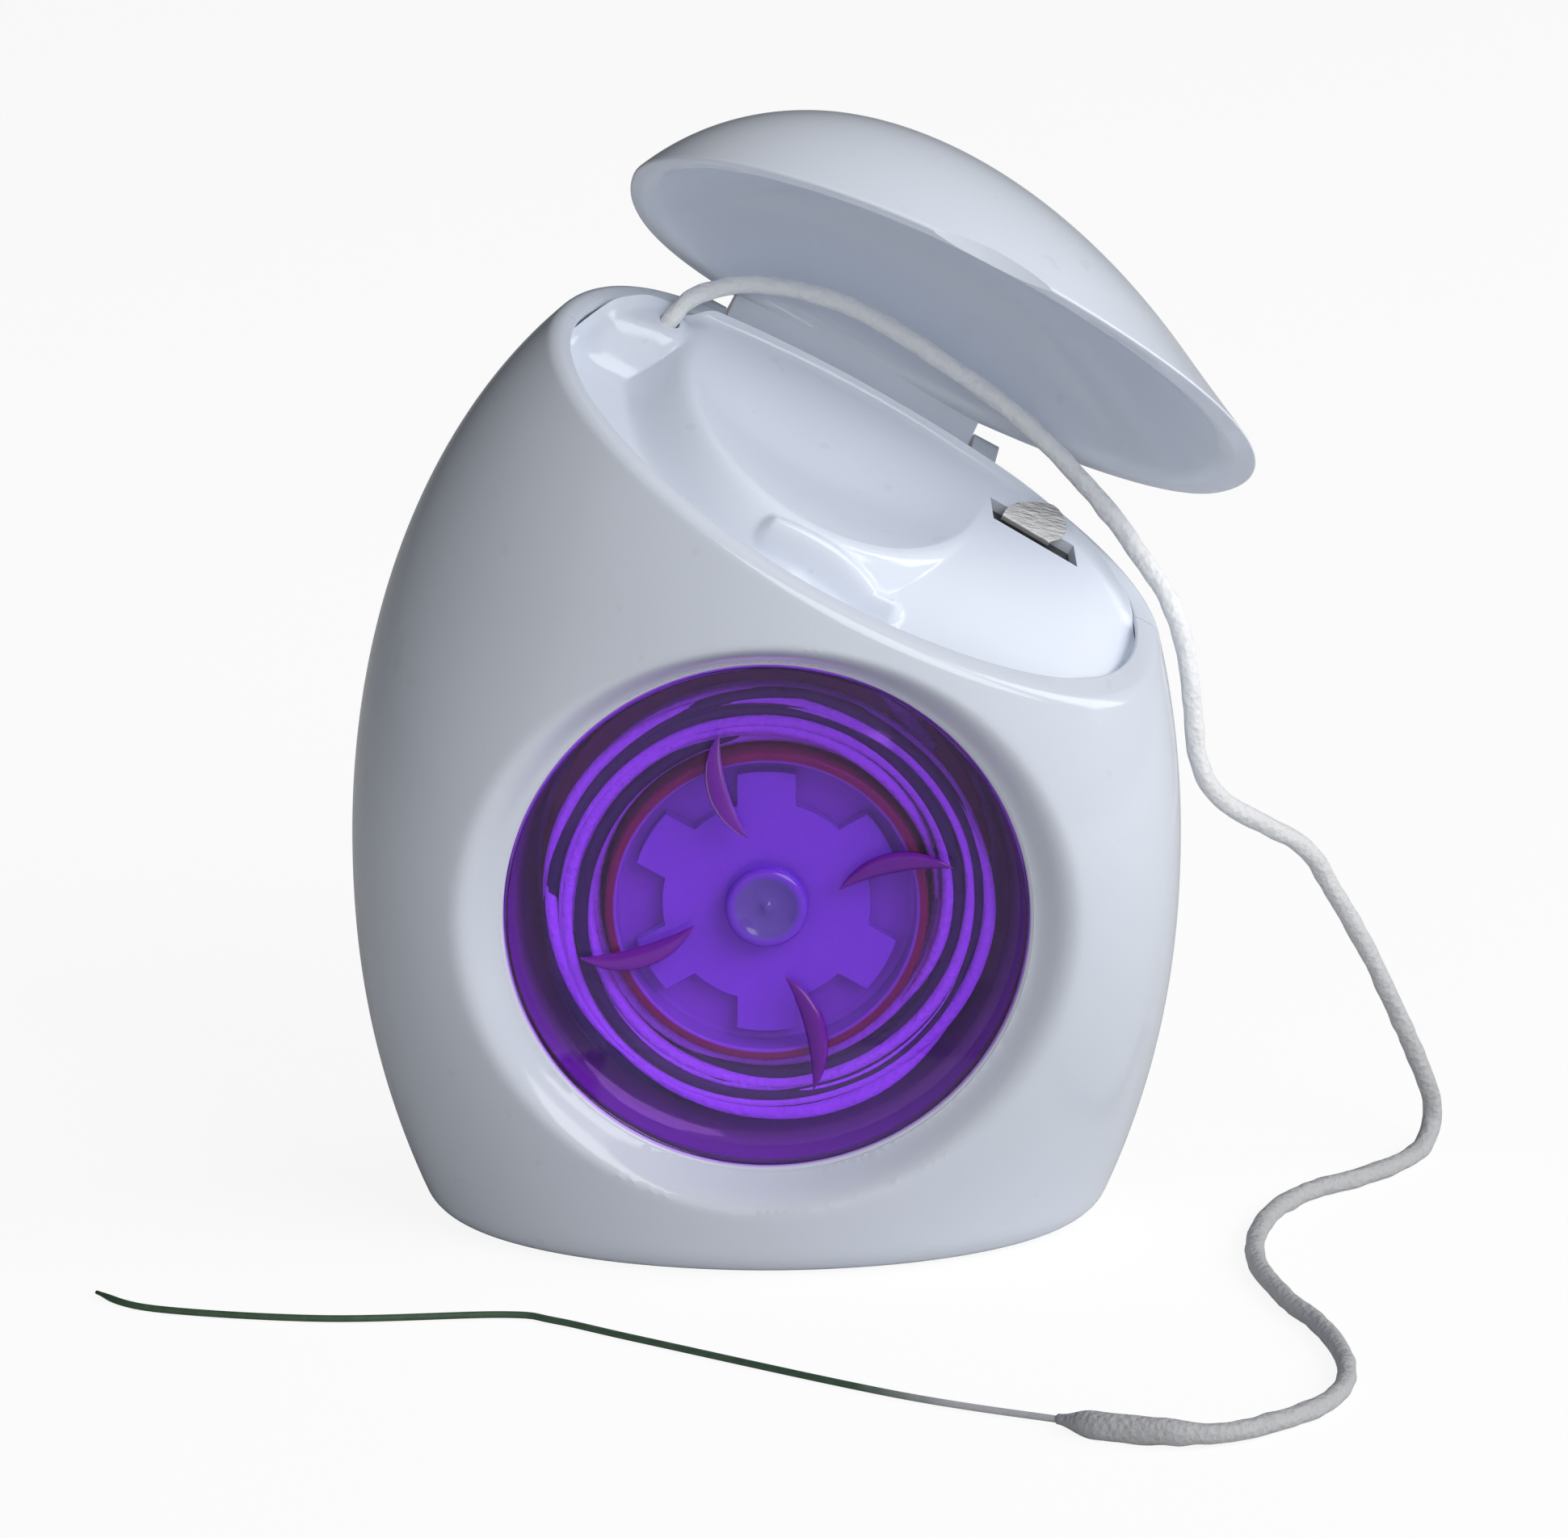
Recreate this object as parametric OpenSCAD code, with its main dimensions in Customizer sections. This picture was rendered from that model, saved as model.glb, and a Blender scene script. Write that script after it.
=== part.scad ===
// Dental floss dispenser: an egg-shaped two-part shell on a flat foot, cut by a slanted
// mouth. A domed lid on a pin opens the mouth, which holds a deck with the exit hole, a
// finger pad and a steel cutter. A clear round window in a shallow dish shows the reel.
// +Z is up, +Y runs to the back, and the origin is the centre of the foot.

/* [Body] */
// Width of the body at its widest level
body_w = 60; // [57:0.5:63]
// Height of the widest level above the foot
belly_z = 29; // [28:0.5:31]
// Rise of the closed egg above the widest level
crown_h = 44.6; // [43:0.2:47]
// Reach of the lower curve below the widest level, part of it cut off by the foot
root_h = 46.4; // [44:0.2:50]
// Fullness of the lower curve, 2 is an ellipse
root_curve = 2.1; // [2:0.05:2.4]
// Depth of the front half at the widest level
front_d = 18.4; // [18:0.1:20]
// Depth of the back half at the widest level
back_d = 11.9; // [11.4:0.1:13]
// Squareness of the front half level with the window
front_square = 2.7; // [2.4:0.1:3]
// Squareness of the front half near the foot and the mouth
end_square = 1.95; // [1.9:0.05:2.2]
// Squareness of the back half
back_square = 2.3; // [2.2:0.1:2.6]
// How far the back half keeps its depth towards the crown, 1 is an ellipse
back_hold = 0.4; // [0.3:0.05:0.6]
// Wall of both shells and of the lid
wall = 1.6; // [1.4:0.1:1.8]
// Radius of the edge round the foot
foot_r = 2; // [1:0.25:2.5]

/* [Mouth] */
// Distance of the mouth's datum to the right of the middle
mouth_x = 7; // [6:0.25:8]
// Height of the mouth's datum
mouth_z = 56; // [55:0.25:57]
// Fall of the mouth towards the right
mouth_slope = 28.7; // [27:0.1:30]
// Fall of the mouth towards the front
mouth_tip = 21.2; // [19:0.1:23]

/* [Window] */
// Height of the window's middle
dish_z = 26.6; // [26:0.1:27.4]
// Radius of the window's visible face
window_r = 18.75; // [18.25:0.05:19]
// Width of the dish round the window
dish_w = 45.4; // [44.6:0.2:46.4]
// Height of the dish round the window
dish_h = 42.6; // [41.8:0.2:43.4]
// Depth of the window's edge below the front of the body
dish_deep = 5.4; // [5:0.1:5.8]
// Thickness of the window
window_t = 1.2; // [1:0.05:1.3]
// Hollow of the window's face at its middle
window_sag = 2.8; // [2:0.1:3]
// Width of the flange that holds the window from behind
flange_w = 1.3; // [1.1:0.1:1.5]
// Thickness of that flange
flange_t = 1.2; // [0.9:0.1:1.4]
// Height of the curved ribs on the window
rib_h = 0.5; // [0.3:0.05:0.7]
// Radius of the boss in the middle of the window
boss_r = 2.8; // [2.2:0.1:3.2]

/* [Reel] */
// Thickness of the floss
floss_d = 1.2; // [1:0.05:1.3]
// Free space between neighbouring turns
turn_gap = 0.5; // [0.45:0.05:0.6]
// Turns from the hub to the edge of the coil
turns = 2.4; // [2:0.1:2.6]
// Layers of the coil
layers = 5; // [3:2:5]
// Width of the reel's back plate outside the hub
band_w = 6.64; // [6.54:0.02:6.9]
// Wall of the hub
hub_wall = 0.9; // [0.8:0.05:1.1]
// Free space between the reel and the tray's wall
plate_gap = 0.55; // [0.4:0.05:0.8]
// Thickness of the reel's back plate
plate_t = 1.2; // [1:0.1:1.5]
// Radius of the post that the reel turns on
post_r = 3; // [2.6:0.1:3.3]
// Running clearance round the post
post_gap = 0.06; // [0.04:0.01:0.09]
// Wall of the tray round the reel
tray_wall = 1.2; // [1:0.1:1.4]
// Length of the retainer's six lugs
lug_l = 2.3; // [1.8:0.1:2.8]
// Free space between the lugs and the hub
lug_gap = 0.96; // [0.7:0.02:1.2]
// Width of a lug
lug_w = 4.2; // [3.6:0.1:4.6]
// Thickness of the retainer
keeper_t = 1.2; // [1:0.1:1.4]
// Radius of the retainer's stem, pressed into the post
stem_r = 1.4; // [1.2:0.1:1.6]
// Length of that stem
stem_l = 4.5; // [3.5:0.25:5]
// End play of the reel on each side
end_play = 0.25; // [0.15:0.05:0.35]

/* [Hinge] */
// Opening of the lid as it stands, from closed
lid_open = 57; // [40:1:75]
// Length of the lid's hinge barrel
hinge_l = 20; // [18:0.5:21]
// Place of the barrel's left end along the mouth
hinge_u = -13; // [-13.5:0.25:-12.5]
// Distance of the hinge line behind the mouth's datum
hinge_v = 11; // [10.8:0.1:11.3]
// Depth of the hinge line below the mouth
hinge_w = 2; // [1.8:0.1:2.3]
// Radius of the barrel and the knuckles
barrel_r = 1.4; // [1.2:0.1:1.5]
// Length of each knuckle on the body
knuckle_l = 2; // [1.75:0.25:3]
// Radius of the hinge pin
pin_r = 0.5; // [0.4:0.05:0.6]
// Gap between the closed lid and the rim
lid_gap = 0.15; // [0.1:0.05:0.3]

/* [Deck] */
// Depth of the band round the deck below the rim
band_deep = 3.2; // [2.8:0.1:3.6]
// Rise of the platform over the band
platform_h = 3.4; // [3:0.1:3.8]
// Depth of the finger pad
pad_deep = 2.2; // [1.8:0.1:2.6]
// Thickness of the deck
deck_t = 1.2; // [1.1:0.1:1.4]
// Radius of the exit hole
exit_r = 0.9; // [0.85:0.05:1.1]
// Length of the latch bead between its round ends
bead_l = 9.5; // [8:0.5:11]
// Radius of the latch bead
bead_r = 1; // [0.8:0.1:1.2]

/* [Cutter] */
// Length of the cutter
cutter_l = 7; // [6.4:0.1:7.2]
// Thickness of its steel
steel_t = 0.4; // [0.3:0.05:0.5]
// Width of the bent-up tongue
tongue_w = 4; // [3.4:0.1:4.4]
// Length of the tongue from its bend
tongue_l = 2.8; // [2.4:0.1:3.2]
// Angle of the tongue to its strip
tongue_lean = 62; // [50:2:75]

/* [Snaps] */
// Radius of the four pegs that join the shells
peg_r = 1.4; // [1.2:0.1:1.6]
// Clearance of a peg in its socket
peg_gap = 0.1; // [0.05:0.05:0.2]

/* [Hidden] */
fn = 96;
fit = 0.2;
big = 200;

// The window's edge, and what stands behind it, as places along Y
window_y = dish_deep - front_d;
flange_y = window_y + wall;
tray_y = flange_y + flange_t;
keeper_y = window_y + window_sag + window_t + 0.4;
hub_y = window_y + window_sag + fit + 0.3;
turn_step = floss_d + turn_gap;
coil_y = hub_y + floss_d / 2 + fit;
plate_y = coil_y + (layers - 1) * turn_step + floss_d / 2 + fit;
floor_y = plate_y + plate_t + end_play;
tray_r = window_r + flange_w;
plate_r = tray_r - tray_wall - plate_gap;
hub_r = plate_r - band_w;
lug_r = hub_r - hub_wall - lug_gap;
keeper_r = lug_r - lug_l;
sleeve_r = post_r + post_gap + 1.5;

// Measures of the body
crown_z = belly_z + crown_h;

function clamp(x, lo, hi) = max(lo, min(hi, x));
function ease(t) = let (c = clamp(t, 0, 1)) c * c * (3 - 2 * c);
function mix(a, b, t) = a + (b - a) * t;

// Share of the widest section that is left at a height
function fullness(z, inset = 0) =
    let (upper = z > belly_z,
         t = upper ? (z - belly_z) / (crown_h - inset) : (belly_z - z) / (root_h - inset),
         p = upper ? 2 : root_curve)
    pow(max(0, 1 - pow(min(t, 1), p)), 1 / p);

// How far the rounded edge of the foot draws in
function foot_in(z) =
    let (q = clamp(foot_r - z, 0, foot_r)) foot_r - sqrt(foot_r * foot_r - q * q);

function half_w(z, inset) =
    max(0.01, (body_w / 2 - inset) * fullness(z, inset) - (inset > 0 ? 0 : foot_in(z)));
function half_front(z, inset) =
    max(0.01, (front_d - inset) * fullness(z, inset) - (inset > 0 ? 0 : foot_in(z)));
function half_back(z, inset) =
    let (hold = z > belly_z ? back_hold : 1)
    max(0.01, (back_d - inset) * pow(fullness(z, inset), hold) - (inset > 0 ? 0 : foot_in(z)));
function front_power(z) =
    mix(end_square, front_square, pow(cos(90 * clamp((z - dish_z) / 24, -1, 1)), 2));

// Distance of the egg's front and back faces from the joint between the shells
function bow(x, half, deep, power) = deep * pow(max(0, 1 - pow(min(1, abs(x) / half), power)), 1 / power);
function front_at(x, z, inset) = bow(x, half_w(z, inset), half_front(z, inset), front_power(z));
function back_at(x, z, inset) = bow(x, half_w(z, inset), half_back(z, inset), back_square);
function in_egg(p, inset) =
    p[2] > 0 && p[2] < crown_z - inset && abs(p[0]) < half_w(p[2], inset)
    && (p[1] < 0 ? -p[1] < front_at(p[0], p[2], inset) : p[1] < back_at(p[0], p[2], inset));

// The dish: its reach in a direction, and its share of the way out at a radius
function dish_reach(a) = 1 / norm([cos(a) / (dish_w / 2), sin(a) / (dish_h / 2)]);
function dished(x, z) =
    let (r = norm([x, z - dish_z]), a = atan2(z - dish_z, x),
         t = (r - window_r) / (dish_reach(a) - window_r))
    mix(-window_y, front_at(x, z, 0), ease(t));

// A point of the mouth's own frame, where u runs down the slope, v back and w out
function mouth_point(u, v, w) =
    let (cs = cos(mouth_slope), ss = sin(mouth_slope), ct = cos(mouth_tip), st = sin(mouth_tip),
         y = v * ct - w * st, h = v * st + w * ct)
    [mouth_x + u * cs + h * ss, y, mouth_z - u * ss + h * cs];

// Largest distance along a ray that stays inside the wall, found by halving
function reach_xz(a, inset, lo = 0, hi = 80, n = 26) =
    n == 0 ? lo :
    let (m = (lo + hi) / 2, x = m * cos(a), z = dish_z + m * sin(a),
         ok = z > inset && z < crown_z - inset && abs(x) < half_w(z, inset))
    ok ? reach_xz(a, inset, m, hi, n - 1) : reach_xz(a, inset, lo, m, n - 1);
function reach_mouth(a, w, inset, lo = 0, hi = 40, n = 24) =
    n == 0 ? lo :
    let (m = (lo + hi) / 2, p = mouth_point(mouth_u + m * cos(a), mouth_v + m * sin(a), w))
    in_egg(p, inset) && -p[1] < dished(p[0], p[2]) - inset
        ? reach_mouth(a, w, inset, m, hi, n - 1) : reach_mouth(a, w, inset, lo, m, n - 1);

// Middle of the mouth in its own frame
mouth_u = 0.4;
mouth_v = -2.8;

// Triangles between two rings of n points, and the fan that closes a ring
function band(n, a, b) = [for (i = [0 : n - 1]) let (j = (i + 1) % n)
    each [[a + i, a + j, b + j], [a + i, b + j, b + i]]];
function fan(n, a, centre) = [for (i = [0 : n - 1]) [a + i, centre, a + (i + 1) % n]];

// A solid from a list of rings, closed into a loop or by a fan at each end
module ring_solid(rings, centres = []) {
    n = len(rings[0]);
    last = len(rings) - 1;
    points = [for (ring = rings) each ring];
    bands = [for (k = [0 : last - 1]) each band(n, k * n, (k + 1) * n)];
    closed = len(centres) == 0;
    ends = closed ? band(n, last * n, 0)
        : concat(fan(n, 0, len(points)),
                 [for (f = fan(n, last * n, len(points) + 1)) [f[0], f[2], f[1]]]);
    polyhedron(concat(points, centres), concat(bands, ends), convexity = 8);
}

// A tube swept along points, with a radius at each and level rings of sides
module tube(path, radii, sides = 8) {
    last = len(path) - 1;
    rings = [for (i = [0 : last])
        let (d = path[min(i + 1, last)] - path[max(i - 1, 0)], t = d / norm(d),
             s = cross(t, abs(t[2]) > 0.9 ? [0, 1, 0] : [0, 0, 1]), side = s / norm(s),
             up = cross(side, t))
        [for (k = [0 : sides - 1]) let (a = 360 * (k + 0.5) / sides)
            path[i] + radii[i] * (cos(a) * side + sin(a) * up)]];
    ring_solid(rings, [path[0], path[last]]);
}

// Places children in the mouth's frame, or about its hinge line
module at_mouth() {
    translate([mouth_x, 0, mouth_z]) rotate([mouth_tip, mouth_slope, 0]) children();
}
// The way back from the mouth's frame to the body's
module at_body() {
    rotate([-mouth_tip, 0, 0]) rotate([0, -mouth_slope, 0]) translate([-mouth_x, 0, -mouth_z]) children();
}
module along_u(u, l) {
    translate([u, 0, 0]) rotate([90, 0, 90]) linear_extrude(l) children();
}
module above_mouth(w = 0) {
    at_mouth() translate([-big / 2, -big / 2, w]) cube(big);
}
module round_y(y, l, r, x = 0, z = dish_z) {
    translate([x, y, z]) rotate([-90, 0, 0]) cylinder(r = r, h = l, $fn = fn);
}
// A solid turned about the window's axis from a profile of [radius, y]
module spun(profile) {
    translate([0, 0, dish_z]) rotate([-90, 0, 0]) rotate_extrude($fn = fn) polygon(profile);
}

// Angles of the rays that the shells are laid on
steps = 64;
rays = [for (i = [0 : steps - 1]) 360 * i / steps];
// Shares of the way out, closer together where the shell turns its side
dish_rings = [0, 0.3, 0.55, 0.8, 1];
wall_rings = [0.22, 0.42, 0.6, 0.74, 0.86, 0.95, 0.99, 1];
edge_lip = 0.4;

function front_ring(radii, inset) = [for (i = [0 : steps - 1])
    let (x = radii[i] * cos(rays[i]), z = dish_z + radii[i] * sin(rays[i]),
         egg = front_at(x, z, inset), cut = dished(x, z) - inset)
    [x, -max(edge_lip, min(egg, cut)), z]];
// The back half is laid the other way round, so that its faces point outwards too
function back_ring(radii, inset) = [for (i = [0 : steps - 1])
    let (x = -radii[i] * cos(rays[i]), z = dish_z + radii[i] * sin(rays[i]))
    [x, max(edge_lip, back_at(x, z, inset)), z]];
function joint_ring(radii, side = 1) = [for (i = [0 : steps - 1])
    [side * radii[i] * cos(rays[i]), 0, dish_z + radii[i] * sin(rays[i])]];

edge_out = [for (a = rays) reach_xz(a, 0)];
edge_in = [for (a = rays) reach_xz(a, wall)];
function dish_radii(t) = [for (a = rays) mix(window_r - 0.6, dish_reach(a), t)];
function wall_radii(t, edge) = [for (i = [0 : steps - 1]) mix(dish_reach(rays[i]), edge[i], t)];
function disc_radii(t, edge) = [for (i = [0 : steps - 1]) edge[i] * t];

module front_wall() {
    outer = concat([for (t = dish_rings) front_ring(dish_radii(t), 0)],
                   [for (t = wall_rings) front_ring(wall_radii(t, edge_out), 0)],
                   [joint_ring(edge_out)]);
    inner = concat([joint_ring(edge_in)],
                   [for (k = [len(wall_rings) - 1 : -1 : 0])
                        front_ring(wall_radii(wall_rings[k], edge_in), wall)],
                   [for (k = [len(dish_rings) - 1 : -1 : 0])
                        front_ring(dish_radii(dish_rings[k]), wall)]);
    ring_solid(concat(outer, inner));
}

module back_wall() {
    shares = [0.15, 0.36, 0.53, 0.67, 0.78, 0.87, 0.94, 0.98, 1];
    n = len(shares);
    outer = [for (t = shares) back_ring(disc_radii(t, edge_out), 0)];
    inner = [for (k = [n - 1 : -1 : 0]) back_ring(disc_radii(shares[k], edge_in), wall)];
    ring_solid(concat(outer, [joint_ring(edge_out, -1)], [joint_ring(edge_in, -1)], inner),
               [[0, back_at(0, dish_z, 0), dish_z], [0, back_at(0, dish_z, wall), dish_z]]);
}

// Places of the pegs as [x, z], clear of the tray
pegs = [[-19, 8], [19, 8], [-19, 50], [24, 34]];
peg_l = 4;
socket_r = peg_r + 1.3;
// How far a socket reaches to sit in the wall without coming through it
function front_in(x, z) = min(front_at(x, z, wall), dished(x, z) - wall);
function socket_l(p, front) = wall / 3 + min([for (a = [0 : 45 : 315])
    let (x = p[0] + socket_r * cos(a), z = p[1] + socket_r * sin(a))
    front ? front_in(x, z) : back_at(x, z, wall)]);

// Ledges under the band of the deck, at angles round the mouth
ledge_t = 1.5;
ledge_w = -band_deep - deck_t;
module ledge(a) {
    side = 2;
    r = min([for (turn = [-7, 7]) reach_mouth(a + turn, ledge_w - ledge_t / 2, wall)]);
    at_mouth() translate([mouth_u, mouth_v, ledge_w - ledge_t]) rotate([0, 0, a])
        translate([r - side, -side, 0]) cube([side + wall / 4, 2 * side, ledge_t]);
}

module front_shell() color("white") {
    difference() {
        union() {
            difference() {
                front_wall();
                above_mouth();
            }
            for (p = pegs) round_y(-socket_l(p, true), socket_l(p, true), socket_r, p[0], p[1]);
            for (a = [215, 345]) ledge(a);
        }
        for (p = pegs) round_y(-peg_l - 0.5, peg_l + 1, peg_r + peg_gap, p[0], p[1]);
        round_y(window_y - 1, wall + 2, window_r);
    }
}

module knuckle_profile() {
    translate([hinge_v, -hinge_w]) circle(barrel_r, $fn = 48);
    translate([hinge_v - 2.6, -hinge_w - barrel_r]) square([2.6, 2 * barrel_r]);
}

module rear_shell() color("white") {
    post_end = keeper_y + keeper_t;
    difference() {
        union() {
            difference() {
                back_wall();
                above_mouth();
            }
            for (p = pegs) {
                round_y(0, socket_l(p, false), socket_r, p[0], p[1]);
                round_y(-peg_l, peg_l + 1, peg_r, p[0], p[1]);
            }
            for (a = [60, 130]) ledge(a);
            round_y(floor_y + tray_wall, back_d - wall / 2 - floor_y - tray_wall, post_r + 4);
            round_y(post_end, back_d - wall / 2 - post_end, post_r);
            at_mouth() {
                along_u(hinge_u - fit - knuckle_l, knuckle_l) knuckle_profile();
                along_u(hinge_u + hinge_l + fit, knuckle_l) knuckle_profile();
            }
        }
        round_y(post_end - 1, stem_l + 1.5, stem_r);
        at_mouth() {
            along_u(hinge_u - fit, hinge_l + 2 * fit) {
                translate([hinge_v, -hinge_w]) circle(barrel_r + 0.3, $fn = 48);
                translate([hinge_v - 1.9, -hinge_w]) square([6, hinge_w + 2]);
            }
            along_u(hinge_u - 2 * knuckle_l, hinge_l + 4 * knuckle_l)
                translate([hinge_v, -hinge_w]) circle(pin_r, $fn = 32);
        }
    }
}

function sag_at(r) = window_sag * (1 - pow(r / window_r, 2));

// One crescent rib along x, between an outer and a flatter inner circle through its tips
rib_in = 5.3;
rib_l = 8.5;
rib_a = 14;
module crescent(bulge, hollow) {
    r_out = (rib_l * rib_l / 4 + bulge * bulge) / (2 * bulge);
    r_in = (rib_l * rib_l / 4 + hollow * hollow) / (2 * hollow);
    difference() {
        translate([rib_l / 2, bulge - r_out]) circle(r_out, $fn = fn);
        translate([rib_l / 2, hollow - r_in]) circle(r_in, $fn = fn);
    }
}

module window() color("mediumpurple", 0.55) {
    clear_r = window_r - fit / 2;
    radii = [0, 3, 6, 9, 12, 15, clear_r];
    rib_tilt = atan((sag_at(rib_in) - sag_at(rib_in + rib_l)) / rib_l);
    rib_root = 0.6;
    boss_h = 0.5;
    dimple_r = 1.9;
    nub_r = 0.35;
    face = [for (r = radii) [r, window_y + max(0, sag_at(r))]];
    back = [for (k = [len(radii) - 2 : -1 : 0])
        [radii[k], window_y + sag_at(radii[k]) + window_t]];
    spun(concat(face, [[clear_r, flange_y], [tray_r, flange_y], [tray_r, tray_y],
                       [clear_r - 1, tray_y]], back));
    difference() {
        round_y(window_y + window_sag - boss_h, boss_h + window_t / 2, boss_r);
        round_y(window_y + window_sag - boss_h - 1, 1 + boss_h / 2, dimple_r);
    }
    round_y(window_y + window_sag - boss_h, boss_h + window_t / 2, nub_r);
    for (a = [rib_a : 90 : rib_a + 270])
        translate([0, window_y + sag_at(rib_in), dish_z]) rotate([90, 0, 0]) rotate([0, 0, a])
            translate([rib_in, 0, 0]) rotate([0, -rib_tilt, 0]) translate([0, 0, -rib_root])
                linear_extrude(rib_root + rib_h) crescent(2, 0.5);
}

module cassette_tray() color("indigo") {
    difference() {
        round_y(tray_y, floor_y + tray_wall - tray_y, tray_r);
        round_y(tray_y - 1, floor_y - tray_y + 1, tray_r - tray_wall);
        round_y(floor_y - 1, tray_wall + 2, post_r + 0.1);
        translate(slot_at - [4, 2, 4]) cube([8, 4, 8]);
    }
}

module reel() color("darkmagenta", 0.7) {
    bore = post_r + post_gap;
    hub_in = hub_r - hub_wall;
    sleeve_y = keeper_y + keeper_t + end_play;
    spun([[bore, sleeve_y], [sleeve_r, sleeve_y], [sleeve_r, plate_y], [hub_in, plate_y],
          [hub_in, hub_y], [hub_r, hub_y], [hub_r, plate_y], [plate_r, plate_y],
          [plate_r, plate_y + plate_t], [bore, plate_y + plate_t]]);
}

module reel_retainer() color("whitesmoke") {
    round_y(keeper_y, keeper_t, keeper_r);
    for (a = [30 : 60 : 330])
        translate([0, keeper_y, dish_z]) rotate([-90, 0, 0]) rotate([0, 0, a])
            translate([0, -lug_w / 2, 0]) intersection() {
                cube([lug_r + 1, lug_w, keeper_t]);
                translate([0, lug_w / 2, 0]) cylinder(r = lug_r, h = keeper_t, $fn = fn);
            }
    round_y(keeper_y + keeper_t / 2, stem_l + keeper_t / 2, stem_r);
}

// The coil: each layer spirals between the hub and the edge, and the half turn where the
// spiral reverses climbs to the next layer. It ends where the floss leaves for the deck.
coil_r = hub_r + floss_d / 2 + 0.15;
lap = turns + 0.5;
loop_rings = 24;
coil_turns = round((layers * lap - 0.5) * loop_rings) / loop_rings;
leave_a = 39;
coil_phase = leave_a - 360 * coil_turns;
function coil_point(s) =
    let (k = min(layers - 1, floor(s / lap + 0.00001)), f = s - k * lap,
         out = clamp(f / turns, 0, 1), climb = clamp((f - turns) / 0.5, 0, 1),
         r = coil_r + turns * turn_step * 1.12 * (k % 2 == 0 ? out : 1 - out),
         y = coil_y + (k + ease(climb)) * turn_step, a = 360 * s + coil_phase)
    [r * cos(a), y, dish_z + r * sin(a)];
coil_path = [for (i = [0 : coil_turns * loop_rings]) coil_point(i / loop_rings)];
// Least distance between turns, on points more than half a turn apart
coil_least = min([for (i = [0 : len(coil_path) - 1])
    for (j = [i + loop_rings / 2 : min(len(coil_path) - 1, i + 4 * lap * loop_rings)])
        norm(coil_path[i] - coil_path[j])]);
echo(coil_gap = coil_least - floss_d);

module floss_winding() color("thistle") {
    tube(coil_path, [for (p = coil_path) floss_d / 2], 6);
}

// Places on the deck, in the mouth's frame
pad_u = -2.6;
pad_v = 4;
pad_long = 11.7;
pad_wide = 13;
exit_u = -17;
exit_v = 5.2;
cutter_in = 15.28;
cutter_u = mouth_u + reach_mouth(0, -band_deep, wall) - cutter_in;
platform_u = cutter_u - 2.1;
cutter_v = 2.3;
cutter_turn = -4;
slot_w = 2;
slot_deep = 1.1;
bead_v = -10.8;

// Height of the deck's top over the rim: a mound round the finger pad, a second one that
// carries the cutter and rolls off to the front, and a small one at the exit hole
function pad_q(u, v) = norm([(u - pad_u) / pad_long, (v - pad_v) / pad_wide]);
function deck_top(u, v) =
    let (q = pad_q(u, v),
         pad_mound = 1 - ease((q - 1.03) / 0.34),
         roll = pow(max(0, 1 - v) / 13.4, 2.5) + pow(abs(u - platform_u) / 14.7, 12),
         exit_mound = 1 - ease((norm([u - exit_u, v - exit_v]) - 1.6) / 2.6),
         dip = clamp((1 - q) / 0.85, 0, 1),
         hollow = (1 - pow(1 - dip, 2.2)) * (1 - ease((v + 1) / 9.5)))
    -band_deep + platform_h * max(pad_mound, 1 - roll, exit_mound) - pad_deep * hollow;

deck_shares = [0.12, 0.25, 0.36, 0.46, 0.55, 0.63, 0.71, 0.79, 0.87, 0.94, 1];
deck_gap = 0.42;
deck_edge = [for (a = rays)
    let (r = reach_mouth(a, -band_deep, wall) - deck_gap,
         w = deck_top(mouth_u + r * cos(a), mouth_v + r * sin(a)))
    min(reach_mouth(a, w, wall), reach_mouth(a, w - deck_t, wall)) - deck_gap];
function deck_ring(t, drop) = [for (i = [0 : steps - 1])
    let (u = mouth_u + t * deck_edge[i] * cos(rays[i]), v = mouth_v + t * deck_edge[i] * sin(rays[i]))
    [u, v, deck_top(u, v) - drop]];

// Places children on the cutter's slot, level with the platform's top
module cutter_place() {
    translate([cutter_u, cutter_v, platform_h - band_deep]) rotate([0, 0, cutter_turn]) children();
}
module latch_bead() {
    translate([0, bead_v, deck_top(0, bead_v) + 0.15]) {
        rotate([0, 90, 0]) cylinder(r = bead_r, h = bead_l, center = true, $fn = 32);
        for (s = [-1, 1]) translate([s * bead_l / 2, 0, 0]) sphere(bead_r, $fn = 32);
    }
}

nozzle_r = 1.65;
nozzle_l = 1.4;
pocket_edge = 0.6;
module top_deck() color("white") at_mouth() difference() {
    n = len(deck_shares);
    exit_w = deck_top(exit_u, exit_v);
    union() {
        ring_solid(concat([for (k = [0 : n - 1]) deck_ring(deck_shares[k], 0)],
                          [for (k = [n - 1 : -1 : 0]) deck_ring(deck_shares[k], deck_t)]),
                   [[mouth_u, mouth_v, deck_top(mouth_u, mouth_v)],
                    [mouth_u, mouth_v, deck_top(mouth_u, mouth_v) - deck_t]]);
        translate([exit_u, exit_v, exit_w - deck_t - nozzle_l])
            cylinder(r = nozzle_r, h = nozzle_l + deck_t - 0.2, $fn = 48);
        cutter_place() translate([-pocket_edge, -pocket_edge, -slot_deep - deck_t])
            cube([cutter_l + 2 * pocket_edge, slot_w + 2 * pocket_edge, slot_deep + deck_t - 0.3]);
        latch_bead();
    }
    translate([exit_u, exit_v, exit_w - 10]) cylinder(r = exit_r, h = 20, $fn = 48);
    cutter_place() translate([0, 0, -slot_deep]) cube([cutter_l, slot_w, 20]);
    // Room for the tray and the window's flange below the front of the band
    at_body() round_y(-big / 2, big, tray_r + 0.3);
}

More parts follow.
